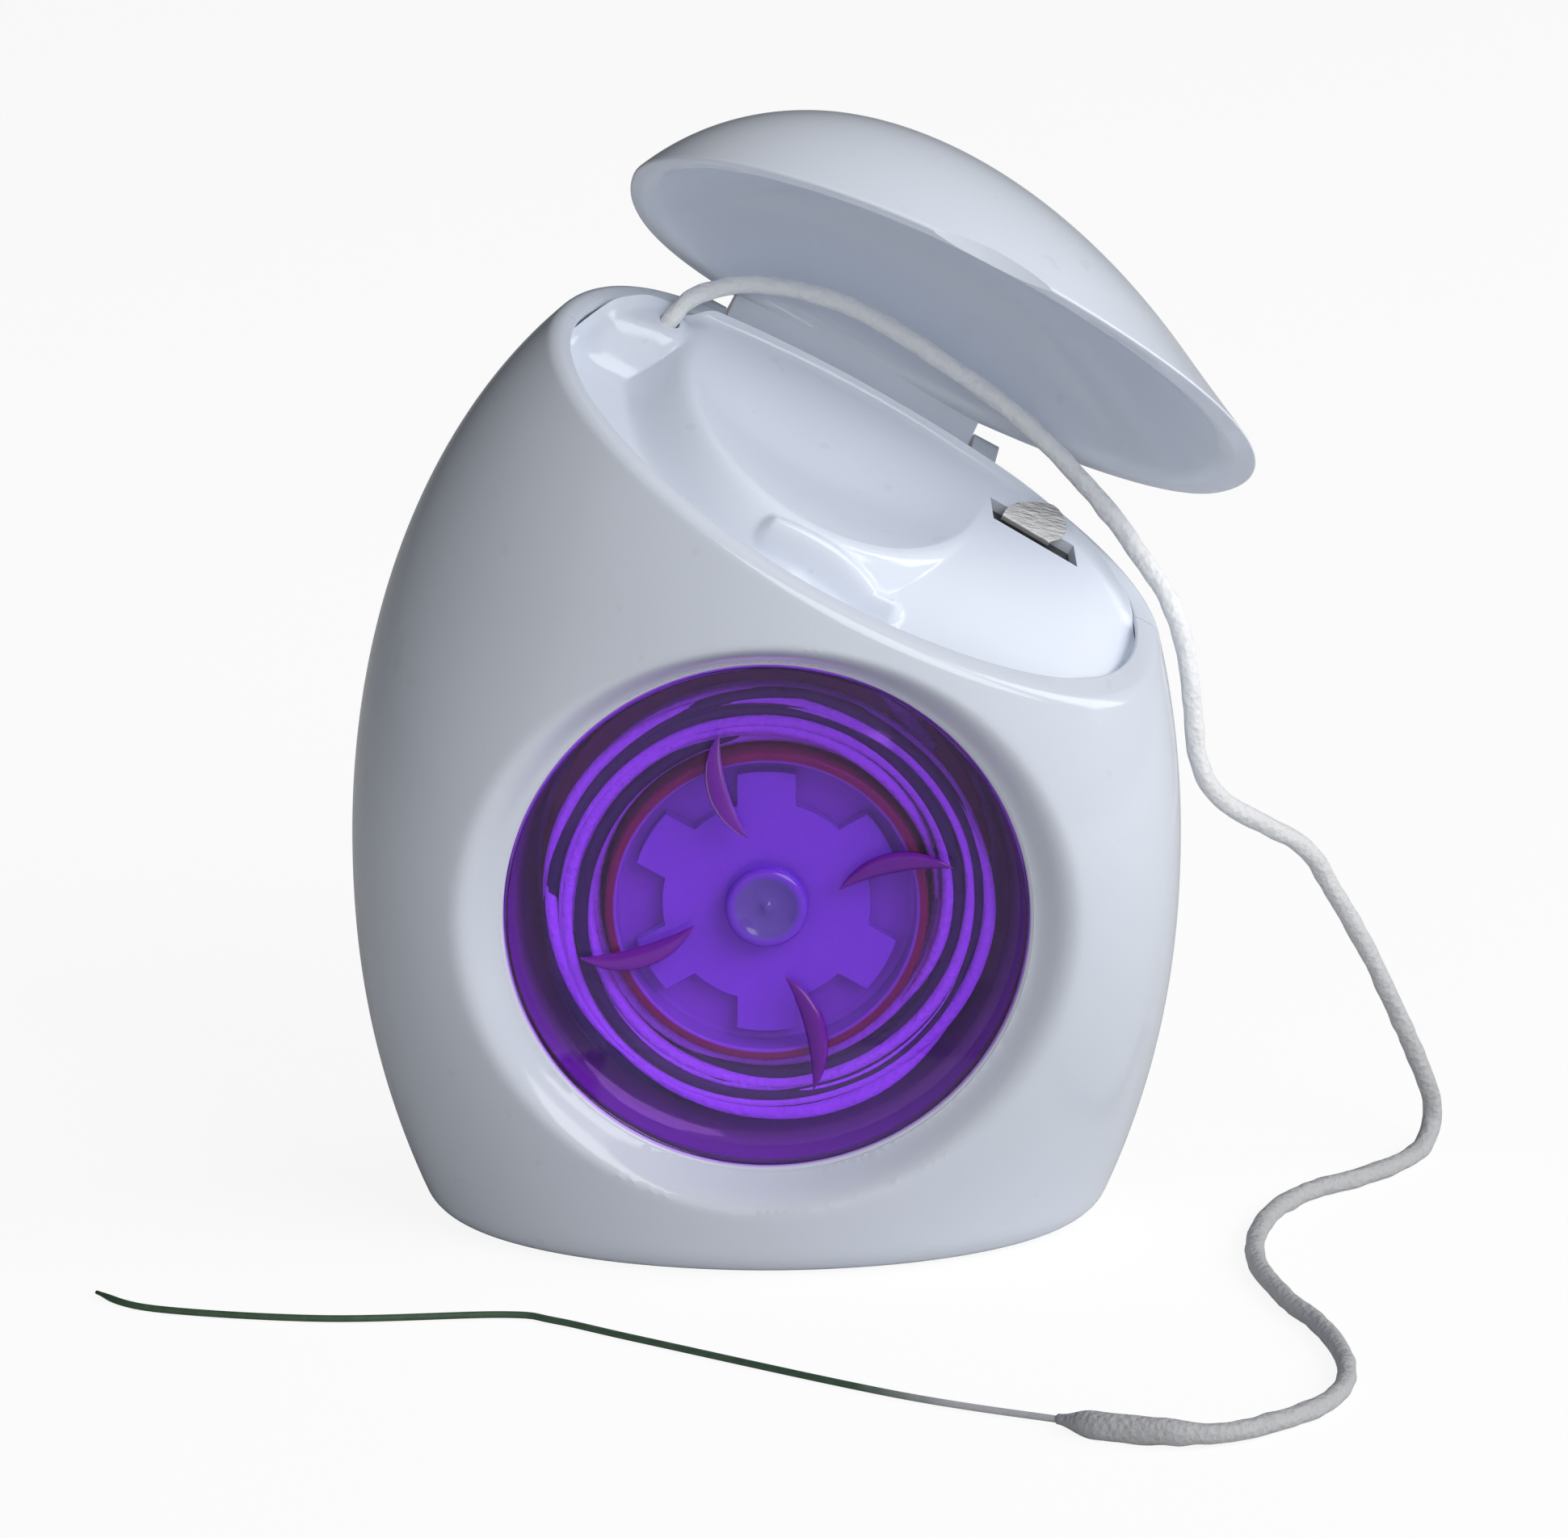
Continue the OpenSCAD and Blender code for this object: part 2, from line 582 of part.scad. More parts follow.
// A flat strip on the slot's floor, with a tongue bent up out of it that leans back
module cutter_blade() color("silver") at_mouth() cutter_place() {
    gap = 0.05;
    bend_r = 0.3;
    corner_r = 1.2;
    tongue_u = 0.8;
    bend_v = 0.7;
    translate([gap, gap, -slot_deep]) cube([cutter_l - 2 * gap, slot_w - 2 * gap, steel_t]);
    translate([tongue_u, bend_v, steel_t - slot_deep + bend_r]) {
        rotate([90, 0, 90]) rotate([0, 0, -90]) rotate_extrude(angle = tongue_lean, $fn = fn)
            translate([bend_r, 0]) square([steel_t, tongue_w]);
        rotate([tongue_lean, 0, 0]) translate([0, 0, -bend_r - steel_t]) linear_extrude(steel_t) {
            square([tongue_w, tongue_l - corner_r]);
            translate([corner_r, 0]) square([tongue_w - 2 * corner_r, tongue_l]);
            for (u = [corner_r, tongue_w - corner_r])
                translate([u, tongue_l - corner_r]) circle(corner_r, $fn = 48);
        }
    }
}

// Turns children of the mouth's frame about the hinge line
module swing(angle) {
    translate([0, hinge_v, -hinge_w]) rotate([-angle, 0, 0]) translate([0, -hinge_v, hinge_w]) children();
}

// The lid is laid on rays from the middle of the mouth, at these angles above its rim
lid_rises = [0, 3, 7, 12, 18, 26, 36, 50, 68];
function dome_point(a, e, r) = [mouth_u + r * cos(e) * cos(a), mouth_v + r * cos(e) * sin(a), lid_gap + r * sin(e)];
function dome_reach(a, e, inset, lo = 0, hi = 40, n = 24) =
    n == 0 ? lo :
    let (m = (lo + hi) / 2, p = dome_point(a, e, m))
    in_egg(mouth_point(p[0], p[1], p[2]), inset)
        ? dome_reach(a, e, inset, m, hi, n - 1) : dome_reach(a, e, inset, lo, m, n - 1);
function dome_ring(e, inset) = [for (a = rays) dome_point(a, e, dome_reach(a, e, inset))];

// The thumb notch, a shallow bite of a large ball out of the front of the lid's rim
notch_r = 16;
notch_bite = 1.15;
notch_u = -1.5;
notch_lean = 35;

module lid() color("white") at_mouth() swing(lid_open) difference() {
    n = len(lid_rises);
    front = dome_ring(0, 0)[round(steps * 0.75)];
    off = notch_r - notch_bite;
    union() {
        ring_solid(concat([for (k = [n - 1 : -1 : 0]) dome_ring(lid_rises[k], 0)],
                          [for (e = lid_rises) dome_ring(e, wall)]),
                   [dome_point(0, 90, dome_reach(0, 90, 0)), dome_point(0, 90, dome_reach(0, 90, wall))]);
        along_u(hinge_u, hinge_l) {
            translate([hinge_v, -hinge_w]) circle(barrel_r, $fn = 48);
            polygon([[hinge_v - barrel_r, -hinge_w], [hinge_v - barrel_r - 0.2, 1.4],
                     [hinge_v - barrel_r + 1, 1.4], [hinge_v + barrel_r - 0.3, 0.5 - hinge_w]]);
        }
    }
    along_u(hinge_u - 1, hinge_l + 2) translate([hinge_v, -hinge_w]) circle(pin_r + 0.05, $fn = 32);
    translate([notch_u, front[1] - off * cos(notch_lean), lid_gap - off * sin(notch_lean)])
        sphere(notch_r, $fn = 64);
}

module hinge_pin() color("silver") at_mouth()
    along_u(hinge_u - fit - knuckle_l, hinge_l + 2 * fit + 2 * knuckle_l)
        translate([hinge_v, -hinge_w]) circle(pin_r, $fn = 32);

// A smooth curve through points, with n steps between neighbours
function spline_at(p, i, t) =
    let (last = len(p) - 1, a = p[max(0, i - 1)], b = p[i], c = p[i + 1], d = p[min(last, i + 2)])
    0.5 * (2 * b + (c - a) * t + (2 * a - 5 * b + 4 * c - d) * t * t
           + (3 * b - a - 3 * c + d) * t * t * t);
function spline(p, n) = concat([for (i = [0 : len(p) - 2]) for (k = [0 : n - 1]) spline_at(p, i, k / n)],
                               [p[len(p) - 1]]);

// The free floss: from the coil through the tray's slot and the exit hole, over the right
// end of the rim and down to the table, where it ends in a stiff threader
strand_r = 0.7;
threader_r = 0.25;
coil_end = coil_point(coil_turns);
leave_way = [-sin(leave_a), 0, cos(leave_a)];
slot_at = coil_end + 11.4 * leave_way;
strand_points = [coil_end + fit * leave_way, slot_at, mix(slot_at, exit_point(-5), 0.6),
    exit_point(-4.8), exit_point(-2.8), exit_point(-0.8), exit_point(0.7),
    [-5, 6.6, 67.4], [-0.6, 9.2, 67.6], [6, 10, 65.8], [13, 9.7, 61.6], [19, 8.7, 57.2],
    [24, 7, 52.2], [27, 5.2, 48.5], [29.2, 3.7, 45.3], [30.4, 3, 41.6], [31, 2.8, 37],
    [31.5, 2.9, 33.4], [33.4, 3.5, 30.2], [39.2, 5.8, 26.2], [41.5, 7, 22.7],
    [44.9, 9, 16.2], [49, 12, 6.6], [49.9, 12.9, 3], [49.2, 11.2, 1], [47, 7.7, 0.75],
    [43.8, 4.5, 0.75], [39.7, 1.2, 0.75], [36.4, -4.6, 0.75], [35.3, -13, 0.75],
    [36.9, -20.5, 0.75], [39.3, -26.9, 0.75], [40.4, -34, 0.75], [39.4, -39.5, 0.75],
    [36, -44, 0.8], [30.2, -47.6, 0.98], [23.6, -46.4, 0.98], [20, -43.6, 0.48]];
threader_points = [[20.5, -43.9, 0.5], [9, -38.5, 0.3], [-8.5, -28.1, 0.3], [-15, -24.1, 0.3],
    [-18.8, -22.9, 0.3], [-31.4, -23.7, 0.3], [-43.6, -21.7, 0.3], [-47.9, -18.4, 0.3]];
function exit_point(w) = mouth_point(exit_u, exit_v, w);

strand_path = spline(strand_points, 2);
threader_path = spline(threader_points, 2);
function run_length(p, i = 1) = i >= len(p) ? 0 : norm(p[i] - p[i - 1]) + run_length(p, i + 1);
echo(strand_length = run_length(strand_path), threader_length = run_length(threader_path));

// The strand is fuller just before its end and tapers into the threader
module floss_strand() color("white") {
    n = len(strand_path) - 1;
    tube(strand_path, [for (i = [0 : n]) i == n ? threader_r : i < n - 5 ? strand_r : i < n - 1
        ? strand_r * 1.35 : strand_r * 0.8]);
}

module floss_threader() color("darkgreen") {
    tube(threader_path, [for (p = threader_path) threader_r]);
}

front_shell();
rear_shell();
window();
cassette_tray();
reel();
reel_retainer();
floss_winding();
top_deck();
cutter_blade();
lid();
hinge_pin();
floss_strand();
floss_threader();
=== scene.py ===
import math

import bmesh
import bpy
import numpy as np
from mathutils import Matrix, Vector


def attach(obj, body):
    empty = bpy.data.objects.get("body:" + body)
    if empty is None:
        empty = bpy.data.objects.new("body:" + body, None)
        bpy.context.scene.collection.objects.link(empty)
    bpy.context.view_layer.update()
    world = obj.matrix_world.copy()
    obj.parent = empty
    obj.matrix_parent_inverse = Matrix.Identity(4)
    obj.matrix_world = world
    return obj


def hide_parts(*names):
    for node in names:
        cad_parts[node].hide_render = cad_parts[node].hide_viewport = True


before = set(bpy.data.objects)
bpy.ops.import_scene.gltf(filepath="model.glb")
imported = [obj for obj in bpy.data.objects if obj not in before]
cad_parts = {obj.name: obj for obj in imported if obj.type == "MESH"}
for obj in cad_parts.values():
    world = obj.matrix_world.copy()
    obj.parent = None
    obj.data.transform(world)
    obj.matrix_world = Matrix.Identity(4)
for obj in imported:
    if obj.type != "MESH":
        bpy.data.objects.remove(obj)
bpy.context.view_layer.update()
mm = 0.001

# Sizes of the egg, its mouth and its dish, in millimetres, as the solids have them
egg = {
    "width": 60, "belly": 29, "crown": 44.6, "root": 46.4, "rootCurve": 2.1,
    "front": 18.4, "back": 11.9, "frontSquare": 2.7, "endSquare": 1.95,
    "backSquare": 2.3, "backHold": 0.4, "wall": 1.6, "foot": 2,
}
mouth = {"x": 7, "z": 56, "slope": 28.7, "tip": 21.2, "u": 0.4, "v": -2.8}
dish = {"z": 26.6, "radius": 18.75, "width": 45.4, "height": 42.6, "deep": 5.4}
hinge = {"u": -13, "v": 11, "w": 2, "long": 20, "barrel": 1.4, "knuckle": 2, "pin": 0.5, "bore": 0.55,
         "cheek": 0.4, "open": 57, "fit": 0.2, "room": 0.3}

windowY = dish["deep"] - egg["front"]
crownZ = egg["belly"] + egg["crown"]


def ease(t):
    c = np.clip(t, 0, 1)
    return c * c * (3 - 2 * c)


def fullness(z, inset):
    upper = z > egg["belly"]
    t = np.where(upper, (z - egg["belly"]) / (egg["crown"] - inset),
                 (egg["belly"] - z) / (egg["root"] - inset))
    power = np.where(upper, 2.0, egg["rootCurve"])
    return np.maximum(0, 1 - np.clip(t, 0, 1) ** power) ** (1 / power)


def footIn(z, inset):
    q = np.clip(egg["foot"] - z, 0, egg["foot"])
    return 0 if inset > 0 else egg["foot"] - np.sqrt(egg["foot"] ** 2 - q * q)


def halfSize(z, size, inset, hold=1.0):
    return np.maximum(0.01, (size - inset) * fullness(z, inset) ** hold - footIn(z, inset))


def bow(x, half, deep, power):
    return deep * np.maximum(0, 1 - np.minimum(1, np.abs(x) / half) ** power) ** (1 / power)


def frontAt(x, z, inset=0):
    near = np.cos(math.pi / 2 * np.clip((z - dish["z"]) / 24, -1, 1)) ** 2
    power = egg["endSquare"] + (egg["frontSquare"] - egg["endSquare"]) * near
    half = halfSize(z, egg["width"] / 2, inset)
    return bow(x, half, halfSize(z, egg["front"], inset), power)


def backAt(x, z, inset=0):
    hold = np.where(z > egg["belly"], egg["backHold"], 1.0)
    half = halfSize(z, egg["width"] / 2, inset)
    return bow(x, half, halfSize(z, egg["back"], inset, hold), egg["backSquare"])


def dishReach(a):
    return 1 / np.hypot(np.cos(a) / (dish["width"] / 2), np.sin(a) / (dish["height"] / 2))


def dished(x, z):
    r = np.hypot(x, z - dish["z"])
    reach = dishReach(np.arctan2(z - dish["z"], x))
    share = ease((r - dish["radius"]) / (reach - dish["radius"]))
    return -windowY * (1 - share) + frontAt(x, z) * share


def faceAt(x, z, inset=0):                      # front face with its dish
    return np.minimum(frontAt(x, z, inset), dished(x, z) - inset)


slopeC, slopeS = math.cos(math.radians(mouth["slope"])), math.sin(math.radians(mouth["slope"]))
tipC, tipS = math.cos(math.radians(mouth["tip"])), math.sin(math.radians(mouth["tip"]))


def atMouth(u, v, w):                           # from the mouth's own frame to the body's
    u, v, w = np.broadcast_arrays(np.asarray(u, float), v, w)
    lift = v * tipS + w * tipC
    return np.stack([mouth["x"] + u * slopeC + lift * slopeS, v * tipC - w * tipS,
                     mouth["z"] - u * slopeS + lift * slopeC], -1)


def swung(points, angle):                       # turned about the hinge line, in the mouth's frame
    c, s = math.cos(math.radians(angle)), math.sin(math.radians(angle))
    y, z = points[..., 1] - hinge["v"], points[..., 2] + hinge["w"]
    return np.stack([points[..., 0], hinge["v"] + y * c + z * s, z * c - y * s - hinge["w"]], -1)


def inEgg(p, inset):
    x, y, z = p[..., 0], p[..., 1], p[..., 2]
    inside = (z > 0) & (z < crownZ - inset) & (np.abs(x) < halfSize(z, egg["width"] / 2, inset))
    return inside & np.where(y < 0, -y < frontAt(x, z, inset), y < backAt(x, z, inset))


def furthest(holds, count, high):               # largest reach for which holds() is true, by halving
    low, top = np.zeros(count), np.full(count, float(high))
    for _ in range(36):
        middle = (low + top) / 2
        good = holds(middle)
        low, top = np.where(good, middle, low), np.where(good, top, middle)
    return low


def resample(line, start, stop, count):         # even steps along a line between two trims
    steps = np.linalg.norm(np.diff(line, axis=0), axis=1)
    run = np.concatenate([[0], np.cumsum(steps)])
    places = np.linspace(start, run[-1] - stop, count)
    return np.stack([np.interp(places, run, line[:, k]) for k in range(3)], 1)


def quarter(corner, along, across, radius, count, flip=False):
    turns = np.radians(np.linspace(0, 90, count + 1)[1:])
    if flip:
        turns = np.radians(np.linspace(0, 90, count + 1)[:-1])[::-1]
    middle = corner - radius * along + radius * across
    return middle + radius * (np.outer(np.sin(turns), along) - np.outer(np.cos(turns), across))


def unit(v):
    return v / max(1e-9, np.linalg.norm(v))


def wallLoop(outer, inner, radius, counts):
    # one ray of a moulded wall: out along the outer face, round the edge and back inside
    nOut, nIn = counts
    rOut, rIn = radius
    face = resample(outer, 0, rOut, nOut)
    back = resample(inner, 0, rIn, nIn)[::-1]
    along, alongIn = unit(outer[-1] - face[-1]), unit(inner[-1] - back[0])
    across = unit(inner[-1] - outer[-1])
    parts = [face, quarter(outer[-1], along, across, rOut, 6),
             quarter(inner[-1], alongIn, -across, rIn, 8, True), back]
    return np.concatenate(parts)


# Meshes

def makeMesh(name, points, faces, body, smooth=True):
    mesh = bpy.data.meshes.new(name)
    mesh.from_pydata((np.asarray(points) * mm).tolist(), [], faces)
    mesh.validate()
    work = bmesh.new()
    work.from_mesh(mesh)
    bmesh.ops.remove_doubles(work, verts=work.verts, dist=1e-8)
    bmesh.ops.recalc_face_normals(work, faces=work.faces)
    if work.calc_volume(signed=True) < 0:
        bmesh.ops.reverse_faces(work, faces=work.faces)
    work.to_mesh(mesh)
    work.free()
    mesh.polygons.foreach_set("use_smooth", [smooth] * len(mesh.polygons))
    piece = bpy.data.objects.new(name, mesh)
    bpy.context.scene.collection.objects.link(piece)
    if body:
        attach(piece, body)
    return piece


def gridFaces(rows, columns, loopRows=True, loopColumns=False):
    faces = []
    for i in range(rows if loopRows else rows - 1):
        j = (i + 1) % rows
        for k in range(columns if loopColumns else columns - 1):
            m = (k + 1) % columns
            faces.append((i * columns + k, i * columns + m, j * columns + m, j * columns + k))
    return faces


def shifted(faces, base):
    return [tuple(base + k for k in face) for face in faces]


def tubeFaces(count, sides):                    # the end points follow the rings
    faces = gridFaces(count, sides, False, True)
    last = count - 1
    for k in range(sides):
        m = (k + 1) % sides
        faces.append((count * sides, k, m))
        faces.append((count * sides + 1, last * sides + m, last * sides + k))
    return faces


def loft(name, grid, poles, body):        # rays x profile, closed by poles or into a loop
    rays, columns = grid.shape[:2]
    points = grid.reshape(-1, 3)
    faces = gridFaces(rays, columns, True, poles is None)
    if poles is not None:
        points = np.concatenate([points, np.asarray(poles, float)])
        for i in range(rays):
            j = (i + 1) % rays
            faces.append((rays * columns, i * columns, j * columns))
            faces.append((rays * columns + 1, j * columns + columns - 1, i * columns + columns - 1))
    return makeMesh(name, points, faces, body)


def prism(outline, low, high, place):           # an outline of (v, w) drawn out along u
    n = len(outline)
    points = [(low, v, w) for v, w in outline] + [(high, v, w) for v, w in outline]
    faces = [tuple(range(n)), tuple(range(n, 2 * n))]
    faces += [(i, (i + 1) % n, n + (i + 1) % n, n + i) for i in range(n)]
    points = np.array(points, float)
    return makeMesh("tool", place(points), faces, None, smooth=False)


boxFaces = [(0, 1, 2, 3), (4, 5, 6, 7), (0, 1, 5, 4), (1, 2, 6, 5), (2, 3, 7, 6), (3, 0, 4, 7)]


def drum(centre, axis, radius, length, place=None, sides=64):
    axis = unit(np.array(axis, float))
    side = unit(np.cross(axis, [0.3, 0.2, 1] if abs(axis[2]) < 0.9 else [1, 0, 0]))
    up = np.cross(axis, side)
    turns = np.linspace(0, 2 * math.pi, sides, endpoint=False)
    circle = np.outer(np.cos(turns), side) + np.outer(np.sin(turns), up)
    centre = np.array(centre, float)
    points = np.concatenate([centre + circle * radius, centre + circle * radius + axis * length])
    faces = [tuple(range(sides)), tuple(range(sides, 2 * sides))]
    faces += [(i, (i + 1) % sides, sides + (i + 1) % sides, sides + i) for i in range(sides)]
    return makeMesh("tool", place(points) if place else points, faces, None, smooth=False)


def box(corners):                               # four corners of one end and four of the other
    return makeMesh("tool", corners, boxFaces, None, smooth=False)


def revolved(line, count):                      # a line of (radius, y) turned about the window's middle
    turns = np.linspace(0, 2 * math.pi, count, endpoint=False)
    return np.array([[(r * math.cos(a), y, dish["z"] + r * math.sin(a)) for r, y in line] for a in turns])


def carve(piece, tools, operation="DIFFERENCE"):
    for tool in tools:
        change = piece.modifiers.new("cut", "BOOLEAN")
        change.operation = operation
        change.solver = "MANIFOLD"
        change.object = tool
        bpy.context.view_layer.update()
        graph = bpy.context.evaluated_depsgraph_get()
        made = bpy.data.meshes.new_from_object(piece.evaluated_get(graph))
        piece.modifiers.clear()
        old = piece.data
        piece.data = made
        made.name = piece.name
        bpy.data.meshes.remove(old)
        bpy.data.objects.remove(tool)
    return piece


def tidyShading(piece, angle=32):
    mesh = piece.data
    mesh.polygons.foreach_set("use_smooth", [True] * len(mesh.polygons))
    mesh.set_sharp_from_angle(angle=math.radians(angle))
    weigh = piece.modifiers.new("even shading", "WEIGHTED_NORMAL")
    weigh.keep_sharp = True
    return piece


def spline(points, steps):
    p = np.array(points, float)
    last = len(p) - 1
    made = []
    for i in range(last):
        a, b, c, d = p[max(0, i - 1)], p[i], p[i + 1], p[min(last, i + 2)]
        for k in range(steps):
            t = k / steps
            made.append(0.5 * (2 * b + (c - a) * t + (2 * a - 5 * b + 4 * c - d) * t * t
                               + (3 * b - a - 3 * c + d) * t ** 3))
    made.append(p[last])
    return np.array(made)


def lengthOf(path):
    return float(np.linalg.norm(np.diff(path, axis=0), axis=1).sum())


def even(path, step):
    count = max(8, int(lengthOf(path) / step))
    return resample(path, 0, 0, count)


def tube(path, radii, sides=12, wobble=0, seed=1):   # rings carried along a path without twist
    chance = np.random.default_rng(seed)
    ways = np.gradient(path, axis=0)
    ways /= np.linalg.norm(ways, axis=1)[:, None]
    side = unit(np.cross(ways[0], [0.1, 0.2, 1.0]))
    rings = []
    turns = np.linspace(0, 2 * math.pi, sides, endpoint=False)
    rough = chance.normal(0, 1, (len(path), sides))
    for _ in range(2):
        rough = (rough + np.roll(rough, 1, 0) + np.roll(rough, -1, 0)) / 3
        rough = (rough + 0.7 * np.roll(rough, 1, 1) + 0.7 * np.roll(rough, -1, 1)) / 2.4
    for i, way in enumerate(ways):
        side = unit(side - way * np.dot(side, way))
        up = np.cross(way, side)
        r = radii[i] + wobble * rough[i]
        rings.append(path[i] + (r * np.cos(turns))[:, None] * side + (r * np.sin(turns))[:, None] * up)
    return np.array(rings)


def tubeMesh(name, path, radii, body, sides=12, wobble=0, seed=1):
    rings = tube(path, radii, sides, wobble, seed)
    rings[..., 2] = np.maximum(rings[..., 2], 0.02)
    points = np.concatenate([rings.reshape(-1, 3), [path[0]], [path[-1]]])
    return makeMesh(name, points, tubeFaces(len(path), sides), body)


# Shader maths

class Wire:                                     # a socket that adds Math nodes when it is reckoned with
    def __init__(self, coat, socket):
        self.coat = coat
        self.socket = socket

    def join(self, operation, first, second):
        return self.coat.node("ShaderNodeMath", {"operation": operation}, {0: first, 1: second})

    def __add__(self, other):
        return self.join("ADD", self, other)

    def __radd__(self, other):
        return self.join("ADD", other, self)

    def __sub__(self, other):
        return self.join("SUBTRACT", self, other)

    def __rsub__(self, other):
        return self.join("SUBTRACT", other, self)

    def __mul__(self, other):
        return self.join("MULTIPLY", self, other)

    def __rmul__(self, other):
        return self.join("MULTIPLY", other, self)

    def __truediv__(self, other):
        return self.join("DIVIDE", self, other)

    def __pow__(self, other):
        return self.join("POWER", self, other)


class Coat:                                     # one material, or the world, and its nodes
    def __init__(self, name, world=None):
        self.material = world or bpy.data.materials.new(name)
        self.material.use_nodes = True
        self.tree = self.material.node_tree
        self.tree.nodes.clear()
        kind = "World" if world else "Material"
        self.outlet = self.tree.nodes.new("ShaderNodeOutput" + kind)

    def node(self, kind, settings=None, sockets=None, out=0):
        made = self.tree.nodes.new(kind)
        for name, value in (settings or {}).items():
            if name == "stops":
                ramp = made.color_ramp.elements
                while len(ramp) < len(value):
                    ramp.new(0.5)
                for stop, (place, colour) in zip(ramp, value):
                    stop.position = place
                    stop.color = (*colour, 1) if hasattr(colour, "__len__") else (colour,) * 3 + (1,)
            else:
                setattr(made, name, value)
        for key, value in (sockets or {}).items():
            if isinstance(value, Wire):
                self.tree.links.new(value.socket, made.inputs[key])
            elif hasattr(value, "__len__") and made.inputs[key].type == "RGBA":
                made.inputs[key].default_value = (*value, 1)
            else:
                made.inputs[key].default_value = value
        return Wire(self, made.outputs[out])

    def where(self):
        return self.node("ShaderNodeTexCoord", out="Object")

    def noise(self, scale, detail=3, rough=0.5, place=None):
        return self.node("ShaderNodeTexNoise", {}, {
            "Vector": place or self.where(), "Scale": scale, "Detail": detail,
            "Roughness": rough})

    def reach(self, axes, centre):              # distance from a line along the missing axis
        flat = self.node("ShaderNodeVectorMath", {"operation": "MULTIPLY"}, {0: self.where(), 1: axes})
        return self.node("ShaderNodeVectorMath", {"operation": "DISTANCE"}, {0: flat, 1: centre}, 1)

    def span(self, value, low, high):           # 0 to 1 between two values
        return self.node("ShaderNodeMapRange", {}, {0: value, 1: low, 2: high})

    def mixed(self, share, first, second):
        made = self.node("ShaderNodeMix", {"data_type": "RGBA"}, {0: share})
        mix = made.socket.node
        for key, value in ((6, first), (7, second)):
            if isinstance(value, Wire):
                self.tree.links.new(value.socket, mix.inputs[key])
            else:
                mix.inputs[key].default_value = (*value, 1)
        return Wire(self, mix.outputs[2])

    def bump(self, height, strength, distance):
        return self.node("ShaderNodeBump", {}, {
            "Strength": strength, "Distance": distance, "Height": height})

    def shade(self, sockets):
        return self.node("ShaderNodeBsdfPrincipled", {}, sockets)

    def close(self, shader):
        self.tree.links.new(shader.socket, self.outlet.inputs["Surface"])
        return self.material


def wear(piece, *materials):
    piece.data.materials.clear()
    for material in materials:
        piece.data.materials.append(material)


def dress(name, material):                      # a CAD node that stays takes a finish
    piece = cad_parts[name]
    for k in range(len(piece.material_slots)):
        piece.material_slots[k].link = "DATA"
    wear(piece, material)
    return piece


# Camera, first because the cords are measured in its view

view = {"tilt": 17.3, "aim": 0.030, "away": 0.6, "lens": 189.9, "shiftX": 0.0111,
        "shiftY": 0.0319}


def makeCamera():
    tilt = math.radians(view["tilt"])
    data = bpy.data.cameras.new("camera")
    data.sensor_width = 36
    data.lens = view["lens"]
    data.shift_x = view["shiftX"]
    data.shift_y = view["shiftY"]
    data.clip_start = 0.01
    data.clip_end = 20
    camera = bpy.data.objects.new("camera", data)
    camera.location = (0, -view["away"] * math.cos(tilt), view["aim"] + view["away"] * math.sin(tilt))
    camera.rotation_euler = (math.pi / 2 - tilt, 0, 0)
    bpy.context.scene.collection.objects.link(camera)
    bpy.context.scene.camera = camera


makeCamera()
print("camera ready")

# The free floss: through the slot of the tray and the exit hole, over the rim to the table

floss = {"radius": 0.7, "swell": 1.4, "leaveAt": 39, "exitU": -17, "exitV": 5.2,
         "threader": 0.25, "wobble": 0.11}
coil = {"r": 12.41, "y": -8.9, "step": 1.7, "turns": 2.4, "lap": 2.9, "layers": 5,
        "count": 14.0}


def coilPoint(s):
    k = min(coil["layers"] - 1, math.floor(s / coil["lap"] + 0.00001))
    f = s - k * coil["lap"]
    out = min(1, max(0, f / coil["turns"]))
    climb = min(1, max(0, (f - coil["turns"]) / 0.5))
    r = coil["r"] + coil["turns"] * coil["step"] * 1.12 * (out if k % 2 == 0 else 1 - out)
    y = coil["y"] + (k + float(ease(climb))) * coil["step"]
    a = math.radians(360 * (s - coil["count"]) + floss["leaveAt"])
    return np.array([r * math.cos(a), y, dish["z"] + r * math.sin(a)])


def strandPoints():
    away = math.radians(floss["leaveAt"])
    leave = np.array([-math.sin(away), 0, math.cos(away)])
    end = coilPoint(coil["count"])
    slot = end + 11.4 * leave
    exits = [atMouth(floss["exitU"], floss["exitV"], w) for w in (-5, -4.8, -2.8, -0.8, 0.7)]
    points = [end + 0.2 * leave, slot, slot + 0.6 * (exits[0] - slot), *exits[1:]]
    return points + [
        [-5, 6.6, 67.4], [-0.6, 9.2, 67.6], [6, 10, 65.8], [13, 9.7, 61.6], [19, 8.7, 57.2],
        [24, 7, 52.2], [27, 5.2, 48.5], [29.2, 3.7, 45.3], [30.4, 3, 41.6], [31, 2.8, 37],
        [31.5, 2.9, 33.4], [33.4, 3.5, 30.2], [39.2, 5.8, 26.2], [41.5, 7, 22.7],
        [44.9, 9, 16.2], [49, 12, 6.6], [49.9, 12.9, 3], [49.2, 11.2, 1], [47, 7.7, 0.75],
        [43.8, 4.5, 0.75], [39.7, 1.2, 0.75], [36.4, -4.6, 0.75], [35.3, -13, 0.75],
        [36.9, -20.5, 0.75], [39.3, -26.9, 0.75], [40.4, -34, 0.75], [39.4, -39.5, 0.75],
        [36, -44, 0.8], [30.2, -47.6, 0.98], [23.6, -46.4, 0.98], [20, -43.6, 0.48]]


threaderPoints = [
    [20.5, -43.9, 0.5], [9, -38.5, 0.3], [-8.5, -28.1, 0.3], [-15, -24.1, 0.3],
    [-18.8, -22.9, 0.3], [-31.4, -23.7, 0.3], [-43.6, -21.7, 0.3], [-47.9, -18.4, 0.3]]


